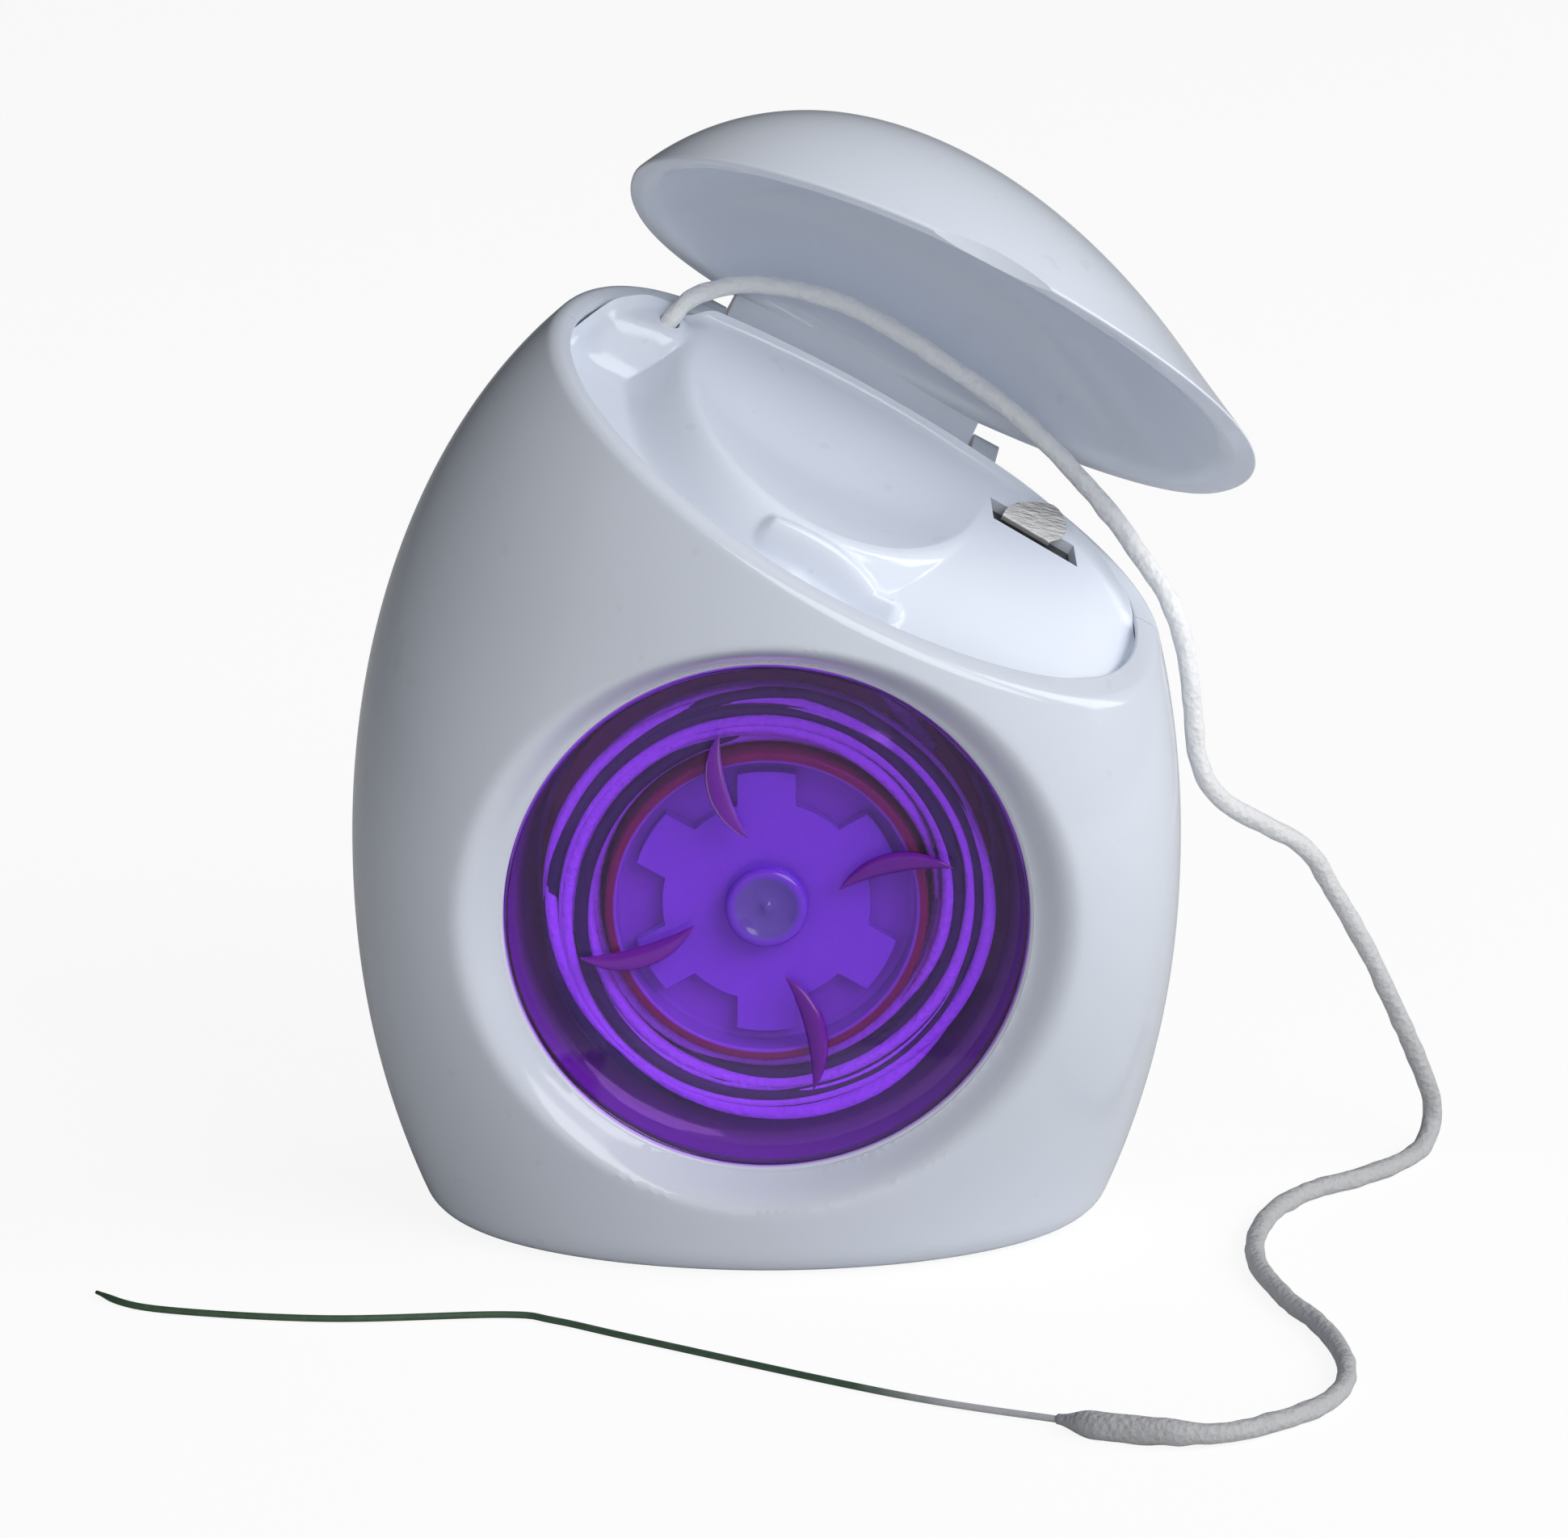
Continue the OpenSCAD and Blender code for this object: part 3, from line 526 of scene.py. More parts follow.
def makeStrand():
    path = even(spline(strandPoints(), 10), 0.32)
    run = np.linspace(0, lengthOf(path), len(path))
    left = run[-1] - run
    swell = 1 + (floss["swell"] - 1) * ease((12 - left) / 4)
    taper = 0.36 + 0.64 * ease(left / 3.2)
    thin = 1 - 0.1 * ease((60 - run) / 30)
    radii = floss["radius"] * swell * taper * thin
    piece = tubeMesh("floss_strand_soft", path, radii, "body", 18, floss["wobble"], 5)
    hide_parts("floss_strand")
    return piece, path


def makeThreader():
    path = even(spline(threaderPoints, 10), 0.5)
    radii = np.full(len(path), floss["threader"])
    radii *= 0.55 + 0.45 * ease(np.linspace(0, 1, len(path))[::-1] * 40)
    piece = tubeMesh("floss_threader_tip", path, radii, "body", 10)
    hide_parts("floss_threader")
    return piece


strand, strandPath = makeStrand()
threader = makeThreader()
print("cords laid", round(lengthOf(strandPath), 1))

# The wall of the body on rays round the middle of the mouth, which the joint parts in two shells

shellLook = {"rays": 420, "low": 22, "rim": (0.62, 0.66), "lens": 0.3, "joint": 0.03}


def inWall(p, inset):
    return inEgg(p, inset) & (p[..., 2] > inset)


def pressedIn(p, inset):                        # the dish; what the opening takes away is bowed in
    r = np.hypot(p[..., 0], p[..., 2] - dish["z"])
    gone = 0.8 * np.maximum(0, 1 - (r / (dish["radius"] - 0.3)) ** 2)
    face = np.minimum(-p[..., 1], dished(p[..., 0], p[..., 2]) - inset - gone)
    y = np.where(p[..., 1] < -1, -face, p[..., 1])
    return np.stack([p[..., 0], y, p[..., 2]], -1)


def wallLines(turns, inset, rows):              # each from the far pole to the mouth's plane
    u, v = np.cos(turns), np.sin(turns)
    rim = furthest(lambda r: inWall(atMouth(mouth["u"] + r * u, mouth["v"] + r * v, 0), inset),
                   len(turns), 40)
    last = np.arctan2(rim, shellLook["low"])[:, None]
    near = last + 0.1
    tilts = [near + (math.pi - 0.012 - near) * np.linspace(1, 0, rows)]
    tilts = np.concatenate([*tilts, near + (last - near) * np.linspace(0, 1, 49)[1:]], 1)
    across, along = np.sin(tilts), np.cos(tilts)

    def point(r):
        return atMouth(mouth["u"] + r * across * u[:, None], mouth["v"] + r * across * v[:, None],
                       r * along - shellLook["low"])
    return pressedIn(point(furthest(lambda r: inWall(point(r), inset), tilts.shape, 90)), inset)


def makeWall():
    turns = np.linspace(0, 2 * math.pi, shellLook["rays"], endpoint=False)
    outer, inner = wallLines(turns, 0, 230), wallLines(turns, egg["wall"], 90)
    loops = []
    for i in range(len(turns)):
        edge = wallLoop(outer[i, 229:], inner[i, 89:], shellLook["rim"], (14, 12))
        loops.append(np.concatenate([outer[i, :229], edge, inner[i, :89][::-1]]))
    poles = [outer[:, 0].mean(0), inner[:, 0].mean(0)]
    return loft("wall", np.array(loops), poles, None)


def halfWall(wall, name, front):                # one side of the joint
    piece = wall.copy()
    piece.data = wall.data.copy()
    piece.name = piece.data.name = name
    bpy.context.scene.collection.objects.link(piece)
    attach(piece, "body")
    near, far = (-shellLook["joint"], 80) if front else (-80, shellLook["joint"])
    return carve(piece, [box([(x, y, z) for x in (-50, 50)
                              for y, z in ((near, -20), (near, 100), (far, 100), (far, -20))])])


def lensTool():                                 # cuts the window's opening and rounds its edge
    soft = shellLook["lens"]
    line = [(dish["radius"], -6.0), (dish["radius"], windowY + soft)]
    line += [(dish["radius"] + soft * (1 - math.cos(a)), windowY + soft * (1 - math.sin(a)))
             for a in np.radians([20, 40, 60, 78])]
    line.append((dish["radius"] + soft, windowY - 0.2))
    line.append((dish["radius"] + soft, windowY - 6))
    poles = [(0, -6.0, dish["z"]), (0, windowY - 6, dish["z"])]
    return loft("tool", revolved(line, 384), poles, None)


def socketLength(x, z, front):
    spots = [(x + 2.7 * math.cos(a), z + 2.7 * math.sin(a)) for a in np.radians(range(0, 360, 45))]
    depth = [float((faceAt if front else backAt)(np.float64(a), np.float64(b), egg["wall"]))
             for a, b in spots]
    return egg["wall"] / 3 + min(depth)


# x and z of the pegs that line up the shells
pegs = [(-19, 8), (19, 8), (-19, 50), (24, 34)]


def ledge(a):                                   # carries the deck's band from below
    sides = a + np.radians([-7, 7])

    def inside(r):
        p = atMouth(mouth["u"] + r * np.cos(sides), mouth["v"] + r * np.sin(sides), -5.15)
        return inEgg(p, egg["wall"]) & (-p[..., 1] < dished(p[..., 0], p[..., 2]) - egg["wall"])
    r = float(furthest(inside, 2, 40).min())
    corners = []
    for w in (-5.9, -4.4):
        for along, across in ((r - 2, -2), (r + 0.4, -2), (r + 0.4, 2), (r - 2, 2)):
            corners.append((mouth["u"] + along * math.cos(a) - across * math.sin(a),
                            mouth["v"] + along * math.sin(a) + across * math.cos(a), w))
    return box(atMouth(*np.array(corners).T))


def makeFrontShell():
    piece = halfWall(bodyWall, "front_shell_moulded", True)
    grown = [drum((x, 0, z), (0, -1, 0), 2.7, socketLength(x, z, True)) for x, z in pegs]
    grown += [ledge(math.radians(a)) for a in (215, 345)]
    carve(piece, grown, "UNION")
    carve(piece, [lensTool()] + [drum((x, 1, z), (0, -1, 0), 1.5, 5.5) for x, z in pegs])
    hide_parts("front_shell")
    return tidyShading(piece)


def hingeArc(r, degrees, up=0):                 # about the hinge's line; up lifts the upper half
    return [(hinge["v"] + r * math.cos(t), -hinge["w"] + r * math.sin(t) + (up if t > 0 else 0))
            for t in np.radians(degrees)]


def knuckleOutline(up=0):
    v, w, r = hinge["v"] - 2.6, -hinge["w"], hinge["barrel"]
    return [(v, w - r), *hingeArc(r, np.linspace(-90, 90, 26), up), (v, w + r + up)]


def scoopOutline():                             # room that the barrel turns in, open to the back
    v, w = hinge["v"], -hinge["w"]
    arc = hingeArc(hinge["barrel"] + hinge["room"], np.linspace(180, 360, 33))
    return [(v - 1.9, 2), (v - 1.9, w), *arc, (v + 4.1, w), (v + 4.1, 2)]


def placed(points):
    return atMouth(points[:, 0], points[:, 1], points[:, 2])


def makeRearShell():
    piece = halfWall(bodyWall, "rear_shell_moulded", False)
    start, end = hinge["u"] - hinge["fit"], hinge["u"] + hinge["long"] + hinge["fit"]
    deep = egg["back"] - egg["wall"] / 2
    grown = [prism(knuckleOutline(), start - hinge["knuckle"], start, placed),
             prism(knuckleOutline(hinge["cheek"]), end, end + hinge["knuckle"], placed),
             drum((0, 0.05, dish["z"]), (0, 1, 0), 7, deep - 0.05),
             drum((0, -7.4, dish["z"]), (0, 1, 0), 3, deep + 7.4)]
    grown += [drum((x, 0, z), (0, 1, 0), 2.7, socketLength(x, z, False)) for x, z in pegs]
    grown += [drum((x, -4, z), (0, 1, 0), 1.4, 5) for x, z in pegs]
    grown += [ledge(math.radians(a)) for a in (60, 130)]
    carve(piece, grown, "UNION")
    carve(piece, [prism(scoopOutline(), start, end, placed),
                  prism(hingeArc(hinge["pin"], range(0, 360, 12)), start - 6, end + 6, placed)])
    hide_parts("rear_shell")
    return tidyShading(piece)


bodyWall = makeWall()
frontShell = makeFrontShell()
rearShell = makeRearShell()
bpy.data.objects.remove(bodyWall)
print("shells moulded", len(frontShell.data.polygons), len(rearShell.data.polygons))

# The lid, on rays from the middle of the mouth, swung open about its pin

lidLook = {"rays": 320, "gap": 0.15, "rim": (0.4, 1.05), "ball": 16, "bite": 1.15, "ballU": -1.5,
           "lean": 35}


def domeLines(turns, inset):
    lines = []
    for e in np.radians(np.concatenate([np.linspace(88, 20, 90), np.linspace(19, 0, 60)])):
        def point(r):
            return np.stack([mouth["u"] + r * math.cos(e) * np.cos(turns),
                             mouth["v"] + r * math.cos(e) * np.sin(turns),
                             lidLook["gap"] + r * math.sin(e)], -1)
        reach = furthest(lambda r: inEgg(atMouth(*np.moveaxis(point(r), -1, 0)), inset),
                         len(turns), 40)
        lines.append(point(reach))
    return np.stack(lines, 1)


def lidPlace(points):
    return atMouth(*np.moveaxis(swung(points, hinge["open"]), -1, 0))


def makeLid():
    turns = np.linspace(0, 2 * math.pi, lidLook["rays"], endpoint=False)
    outer, inner = domeLines(turns, 0), domeLines(turns, egg["wall"])
    loops = np.array([wallLoop(outer[i], inner[i], lidLook["rim"], (96, 60))
                      for i in range(len(turns))])
    poles = [outer[:, 0].mean(0), inner[:, 0].mean(0)]
    front = outer[round(lidLook["rays"] * 0.75), -1]
    loops = lidPlace(loops)
    piece = loft("lid_moulded", loops, lidPlace(np.array(poles)), "lid")
    v, w, r = hinge["v"], -hinge["w"], hinge["barrel"]
    ring = hingeArc(r, range(0, 360, 8))
    tab = [(v - r, w), (v - r - 0.2, 1.4), (v - r + 1, 1.4), (v + r - 0.3, 0.5 + w)]
    carve(piece, [prism(ring, hinge["u"], hinge["u"] + hinge["long"], lidPlace),
                  prism(tab, hinge["u"], hinge["u"] + hinge["long"], lidPlace)], "UNION")
    bore = hingeArc(hinge["bore"], range(0, 360, 12))
    off = lidLook["ball"] - lidLook["bite"]
    lean = math.radians(lidLook["lean"])
    ball = (lidLook["ballU"], front[1] - off * math.cos(lean), lidLook["gap"] - off * math.sin(lean))
    carve(piece, [prism(bore, hinge["u"] - 1, hinge["u"] + hinge["long"] + 1, lidPlace),
                  makeBall(ball, lidLook["ball"])])
    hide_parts("lid")
    return tidyShading(piece)


def makeBall(centre, radius, rows=72, columns=144):
    theta = np.linspace(0, math.pi, rows)[1:-1]
    phi = np.linspace(0, 2 * math.pi, columns, endpoint=False)
    grid = np.stack([centre[0] + radius * np.sin(theta)[None] * np.cos(phi)[:, None],
                     centre[1] + radius * np.sin(theta)[None] * np.sin(phi)[:, None],
                     centre[2] + radius * np.cos(theta)[None] + 0 * phi[:, None]], -1)
    poles = [(centre[0], centre[1], centre[2] + radius), (centre[0], centre[1], centre[2] - radius)]
    return loft("tool", lidPlace(grid), lidPlace(np.array(poles)), None)


lid = makeLid()
print("lid moulded", len(lid.data.polygons))

# The deck in the mouth: finger pad, platform with the cutter's slot, bead and exit hole

deckLook = {"band": 3.2, "rise": 3.4, "pad": 2.2, "thick": 1.2, "gap": 0.09, "rays": 360,
            "turnUp": 0.75, "padU": -2.6, "padV": 4, "long": 11.7, "wide": 13, "cutU": 10.1, "cutV": 2.3,
            "turn": -4, "slotLong": 7, "slotWide": 2.15, "slotDeep": 1.1, "slotSkew": -0.38, "beadV": -10.8,
            "beadLong": 10.2, "beadR": 1.1, "beadHigh": 0.9, "exitR": 0.76}


def deckPlain(u, v):
    q = np.hypot((u - deckLook["padU"]) / deckLook["long"], (v - deckLook["padV"]) / deckLook["wide"])
    mound = 1 - ease((q - 1.03) / 0.34)
    roll = (np.maximum(0, 1 - v) / 13.4) ** 2.5 + (np.abs(u - 8) / 14.7) ** 12
    along = np.clip((u - floss["exitU"]) / -3.4, 0, 1)
    outlet = np.hypot(u - floss["exitU"] + 3.4 * along, v - floss["exitV"] + 0.3 * along)
    outlet = (1 - 0.12 * along) * (1 - ease((outlet - 1.1) / 3.6))
    dip = np.clip((1 - q) / 0.85, 0, 1)
    hollow = (1 - (1 - dip) ** 2.2) * (1 - ease((v + 1) / 9.5))
    high = np.maximum(mound, np.maximum(1 - roll, outlet))
    low = -deckLook["band"] + 1.7 * ease((u - 3) / 16)
    top = deckLook["rise"] - deckLook["band"]
    return low + (top - low) * np.maximum(high, -1) - deckLook["pad"] * hollow


def deckTop(u, v):
    plain = deckPlain(u, v)
    half = deckLook["beadLong"] / 2
    away = np.hypot(np.maximum(0, np.abs(u) - half), v - deckLook["beadV"]) / deckLook["beadR"]
    return plain + deckLook["beadHigh"] * (1 - ease(away)) ** 0.9


def cutPlace(points):                           # on the slot's near edge, level with the platform
    turn = math.radians(deckLook["turn"])
    u = deckLook["cutU"] + points[..., 0] * math.cos(turn) - points[..., 1] * math.sin(turn)
    v = deckLook["cutV"] + points[..., 0] * math.sin(turn) + points[..., 1] * math.cos(turn)
    return atMouth(u, v, points[..., 2] + deckLook["rise"] - deckLook["band"])


def slotBox(start, long, wide, heights):        # its short ends lean with the platform's edge
    corners = ((start, start), (long, start), (long, wide), (start, wide))
    return [(a + deckLook["slotSkew"] * b, b, w) for w in heights for a, b in corners]


def makeDeck():
    turns = np.linspace(0, 2 * math.pi, deckLook["rays"], endpoint=False)

    def reachAt(w):
        def inside(r):
            p = atMouth(mouth["u"] + r * np.cos(turns), mouth["v"] + r * np.sin(turns), w)
            return inEgg(p, egg["wall"]) & (-p[:, 1] < dished(p[:, 0], p[:, 2]) - egg["wall"])
        return furthest(inside, len(turns), 40)
    edge = reachAt(-deckLook["band"]) - deckLook["gap"]
    for _ in range(2):
        w = deckPlain(mouth["u"] + edge * np.cos(turns), mouth["v"] + edge * np.sin(turns))
        heights = (w + deckLook["turnUp"], w, w - deckLook["thick"])
        edge = np.min([reachAt(high) for high in heights], 0) - deckLook["gap"]

    def lines(drop, count):
        made = []
        for t in np.linspace(0.01, 1, count):
            u, v = mouth["u"] + t * edge * np.cos(turns), mouth["v"] + t * edge * np.sin(turns)
            top = deckTop(u, v) if drop == 0 else deckPlain(u, v) - drop
            lift = deckLook["turnUp"] * np.clip(1 - (1 - t) * edge / 1.1, 0, 1) ** 2.4
            made.append(np.stack([u, v, top + (lift if drop == 0 else 0.4 * lift)], -1))
        return np.stack(made, 1)
    outer, inner = lines(0, 240), lines(deckLook["thick"], 120)
    loops = np.array([wallLoop(outer[i], inner[i], (0.12, 0.22), (150, 40)) for i in range(len(turns))])
    poles = np.array([outer[:, 0].mean(0), inner[:, 0].mean(0)])
    piece = loft("top_deck_moulded", placed(loops.reshape(-1, 3)).reshape(loops.shape),
                 placed(poles), "body")
    exitU, exitV = floss["exitU"], floss["exitV"]
    exitW = float(deckPlain(np.float64(exitU), np.float64(exitV)))
    long, wide, deep = deckLook["slotLong"], deckLook["slotWide"], deckLook["slotDeep"]
    pocket = [(-0.6, -deep - 1.2), (wide + 0.6, -deep - 1.2), (wide + 0.6, -0.3), (-0.6, -0.3)]
    slot = slotBox(0, long, wide, (-deep, 8))
    carve(piece, [drum((exitU, exitV, exitW - 2.6), (0, 0, 1), 1.65, 2.4, placed),
                  prism(pocket, -0.6, long + 0.6, cutPlace)], "UNION")
    carve(piece, [drum((exitU, exitV, exitW - 6), (0, 0, 1), deckLook["exitR"], 12, placed),
                  box(cutPlace(np.array(slot))),
                  drum((0, -60, dish["z"]), (0, 1, 0), 20.35, 60)])
    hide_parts("top_deck")
    return tidyShading(piece, 40)


deck = makeDeck()
print("deck moulded", len(deck.data.polygons))

# The cutter: a strip on the slot's floor and a rounded tongue bent up out of it

cutterLook = {"thick": 0.22, "rise": 0.6, "bend": 0.55, "lean": 35, "foot": (0.5, -0.85), "in": 0.06,
              "strip": (-1.08, -0.86)}
tongueShape = [
    # along the slot, up the tongue from its bend
    (0.5, 0.3), (0.52, 0.75), (0.7, 1.25), (1.1, 1.75), (1.7, 2.15), (2.4, 2.5), (3.1, 2.82),
    (3.5, 2.88), (3.9, 2.8), (4.3, 2.6), (4.7, 2.25), (5.0, 1.85), (5.12, 1.45), (5.05, 1.0),
    (4.8, 0.65), (4.45, 0.3)]


def tongueAt(a, t):                             # t runs up the riser, round the bend and along the tongue
    bend, lean = cutterLook["bend"], math.radians(90 - cutterLook["lean"])
    rise, (b0, w0) = cutterLook["rise"], cutterLook["foot"]
    if t < rise:
        b, w, turn = b0, w0 + t, 0.0
    else:
        turn = min(lean, (t - rise) / bend)
        b = b0 + bend * (1 - math.cos(turn))
        w = w0 + rise + bend * math.sin(turn)
        rest = max(0.0, t - rise - bend * lean)
        b += rest * math.sin(lean)
        w += rest * math.cos(lean)
    return (a, b, w), (0.0, -math.cos(turn), math.sin(turn))


def makeCutter():
    line = spline(tongueShape, 5)
    straight = cutterLook["rise"] + cutterLook["bend"] * math.radians(90 - cutterLook["lean"])
    straight -= tongueShape[0][1]
    n = len(line)
    rows = []
    for share in np.linspace(0, 1, 26):         # across between the outline's left and right halves
        rows.append([line[k] + (line[n - 1 - k] - line[k]) * share for k in range(n // 2)])
    rows = np.array(rows)
    low = [[(row[0][0], -straight * q) for q in np.linspace(1, 0.04, 12)] for row in rows]
    rows = np.concatenate([np.array(low), rows], 1)
    top, under = [], []
    for row in rows:
        for a, t in row:
            place, way = tongueAt(a, t + straight)
            top.append(np.array(place))
            under.append(np.array(place) - np.array(way) * cutterLook["thick"])
    m, k = rows.shape[:2]
    faces = gridFaces(m, k, False)
    count = m * k
    faces += shifted([face[::-1] for face in faces], count)
    edge = list(range(k)) + [i * k + k - 1 for i in range(1, m)]
    edge += [(m - 1) * k + q for q in range(k - 2, -1, -1)] + [i * k for i in range(m - 2, 0, -1)]
    faces += [(edge[q], edge[(q + 1) % len(edge)], count + edge[(q + 1) % len(edge)], count + edge[q])
              for q in range(len(edge))]
    points = np.array(top + under)
    gap = cutterLook["in"]
    strip = slotBox(gap, deckLook["slotLong"] - gap, deckLook["slotWide"] - gap, cutterLook["strip"])
    faces += shifted(boxFaces, len(points))
    points = np.concatenate([points, strip])
    piece = makeMesh("cutter_strip", cutPlace(points), faces, "body")
    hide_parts("cutter_blade")
    return tidyShading(piece, 35)


cutter = makeCutter()

# The window: a hollow clear pane with four crescent ribs and a dimpled boss

paneLook = {"thick": 1.2, "sag": 2.8, "flange": 1.3, "flangeT": 1.2, "ribIn": 5.3, "ribLong": 8.5,
            "ribAngle": 14, "ribHigh": 0.55, "rays": 384}


def sagAt(r):
    return windowY + paneLook["sag"] * (1 - (r / dish["radius"]) ** 2)


# radius and height above the pane, from the ring's foot over its top into the dimple to the nub
bossLine = [(3.0, -0.4), (2.96, 0.12), (2.86, 0.3), (2.7, 0.44), (2.5, 0.5), (2.3, 0.48), (2.05, 0.36),
            (1.8, 0.24), (1.4, 0.14), (0.9, 0.08), (0.45, 0.1), (0.3, 0.24), (0.12, 0.3)]


def makeRibs():                                 # four crescent blades that stand on the pane
    half, high = paneLook["ribLong"] / 2, paneLook["ribHigh"]
    rOut, rIn = (half * half + 4) / 4, half * half + 0.25
    points, faces = [], []
    for k in range(4):
        a = math.radians(paneLook["ribAngle"] + 90 * k)
        stations = []
        for s in np.linspace(-1, 1, 61):
            along = s * half * 0.995
            outer = 2 - rOut + math.sqrt(rOut ** 2 - along ** 2)
            inner = 0.5 - rIn + math.sqrt(rIn ** 2 - along ** 2)
            wide = outer - inner
            tall = high * (1 - abs(s) ** 3)
            ring = []
            for share, up in ((0, -0.3), (0, 0.05), (0.14, 0.5), (0.4, 0.82), (0.72, 1.0),
                              (0.86, 0.96), (1, 0.5), (1, 0.05), (1, -0.3)):
                across = inner + share * wide
                x = (along + half + paneLook["ribIn"]) * math.cos(a) - across * math.sin(a)
                z = (along + half + paneLook["ribIn"]) * math.sin(a) + across * math.cos(a)
                ring.append((x, sagAt(math.hypot(x, z)) - up * tall, dish["z"] + z))
            stations.append(ring)
        grid = np.array(stations)
        base = sum(len(p) for p in points)
        points.append(grid.reshape(-1, 3))
        n, m = grid.shape[:2]
        faces += shifted(gridFaces(n, m, False, True), base)
        faces += shifted([range(m), range((n - 1) * m, n * m)], base)
    base = sum(len(p) for p in points)
    grid = revolved([(r, sagAt(r) - up) for r, up in bossLine], 96)
    middle = np.array([[0, sagAt(0) - 0.31, dish["z"]], [0, sagAt(0) + 0.4, dish["z"]]])
    points += [grid.reshape(-1, 3), middle]
    n, m = grid.shape[:2]
    caps = [(n * m, i * m + m - 1, (i + 1) % n * m + m - 1) for i in range(n)]
    caps += [(n * m + 1, (i + 1) % n * m, i * m) for i in range(n)]
    faces += shifted(gridFaces(n, m) + caps, base)
    piece = makeMesh("window_ribs", np.concatenate(points), faces, "body")
    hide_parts("window")
    return tidyShading(piece, 50)


def makeWindow():
    turns = np.linspace(0, 2 * math.pi, paneLook["rays"], endpoint=False)
    clear = dish["radius"] - 0.1
    flangeY = windowY + egg["wall"]
    grid = []
    for r in np.linspace(0.08, clear - 0.2, 190):
        x, z = r * np.cos(turns), r * np.sin(turns)
        grid.append(np.stack([x, np.full(len(turns), sagAt(r)), z], -1))

    def ring(r, y):
        grid.append(np.stack([r * np.cos(turns), np.full(len(turns), y), r * np.sin(turns)], -1))
    for a in np.radians([22, 45, 67, 90]):
        ring(clear - 0.2 + 0.2 * math.sin(a), windowY + 0.2 - 0.17 * math.cos(a))
    outerR, trayY = dish["radius"] + paneLook["flange"], flangeY + paneLook["flangeT"]
    for r, y in ((clear, flangeY), (outerR - 0.15, flangeY), (outerR, flangeY + 0.15),
                 (outerR, trayY - 0.02), (clear - 1, trayY - 0.02)):
        ring(r, y)
    for r in np.linspace(15, 0.3, 40):
        ring(r, sagAt(r) + paneLook["thick"])
    rows = np.stack(grid, 1)
    rows[..., 2] += dish["z"]
    poles = [(0, sagAt(0), dish["z"]), (0, sagAt(0) + paneLook["thick"], dish["z"])]
    piece = loft("window_pane", rows, poles, "body")
    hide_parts("window")
    return tidyShading(piece, 38)


window = makeWindow()
ribs = makeRibs()
print("window moulded", len(window.data.polygons))

# The reel: hub wall, a web just behind the retainer, sleeve and back plate

reelLook = {"hub": 11.66, "wall": 0.85, "front": -9.9, "web": -7.3, "plate": (-1.3, -0.1), "outer": 18.3,
            "bore": 4.5, "soft": 0.2}


def makeReel():
    hub, inside, outer = reelLook["hub"], reelLook["hub"] - reelLook["wall"], reelLook["outer"]
    low, high = reelLook["plate"]
    web, soft = reelLook["web"], reelLook["soft"]
    front, corner = reelLook["front"] + soft, 0.4 * reelLook["wall"]
    line = [(reelLook["bore"], web + 1), (reelLook["bore"], web), (inside - 0.5, web),
            (inside - 0.1, web - 0.15), (inside, web - 0.6), (inside, front)]
    line += [(inside + corner * (1 - math.cos(a)), front - soft * math.sin(a))
             for a in np.radians([25, 50, 75, 90])]
    line += [(hub - corner * (1 - math.sin(a)), front - soft * math.cos(a))
             for a in np.radians([0, 25, 50, 75, 90])]
    line += [(hub, low - 0.3), (hub + 0.3, low), (outer - soft, low), (outer, low + soft),
             (outer, high - soft), (outer - soft, high), (inside, high), (inside, web + 1)]
    grid = revolved(line, 192)
    piece = loft("reel_moulded", grid, None, "reel")
    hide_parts("reel")
    return tidyShading(piece, 40)


reel = makeReel()

# The winding: white spongy runs laid over each other on the reel, with near-black runs among them that
# paint the shade in the gaps between turns

windLook = {"inner": 12.25, "outer": 16.35, "front": -9.1, "white": 0.47, "dark": 0.5}


def windingRun(depth, start, turns, reach, dark, seed):
    chance = np.random.default_rng(seed)
    r0, r1 = reach
    a = np.linspace(0, turns, int(turns * 110) + 2)
    wave = 0.15 * np.sin(2 * math.pi * (a * 1.3 + chance.random())) \
        + 0.09 * np.sin(2 * math.pi * (a * 3.1 + chance.random()))
    r = np.clip(r0 + (r1 - r0) * a / turns + wave, windLook["inner"], windLook["outer"])
    angle = 2 * math.pi * (start + a)
    y = windLook["front"] + depth + 0.22 * np.sin(2 * math.pi * (a * 1.7 + chance.random()))
    radius = windLook["dark" if dark else "white"]
    ends = ease(np.minimum(a, a[-1] - a) * 7)
    radii = radius * (0.4 + 0.6 * ends)
    path = np.stack([r * np.cos(angle), y + 1.2 * (1 - ends), dish["z"] + r * np.sin(angle)], -1)
    return path, radii


# depth, start, turns, (first and last radius), dark (a run of painted gap shade): spirals outwards in
# front, others across them
windingRuns = [(0.15 * (k % 2), 0.21 * k, 1.12, (12.3, 16.9), k % 2 == 1) for k in range(5)]
windingRuns += [(0.35, 0.11 + 0.26 * k, 0.75, (16.8, 13.1), k % 2 == 0) for k in range(4)]
windingRuns += [(0.5, 0.05 + 0.3 * k, 0.9, (12.6 + 0.8 * k, 14.4 + 0.7 * k), k % 2 == 1) for k in range(4)]
windingRuns += [(0.95, 0.1 * k, 1.04, (12.35 + 0.9 * k, 12.45 + 0.9 * k), k % 3 == 1) for k in range(6)]
windingRuns += [(1.9 + 1.0 * n, 0.17 * k, 1.04, (12.4 + 1.1 * k, 12.5 + 1.1 * k), k == 2)
                for n in range(5) for k in range(5)]


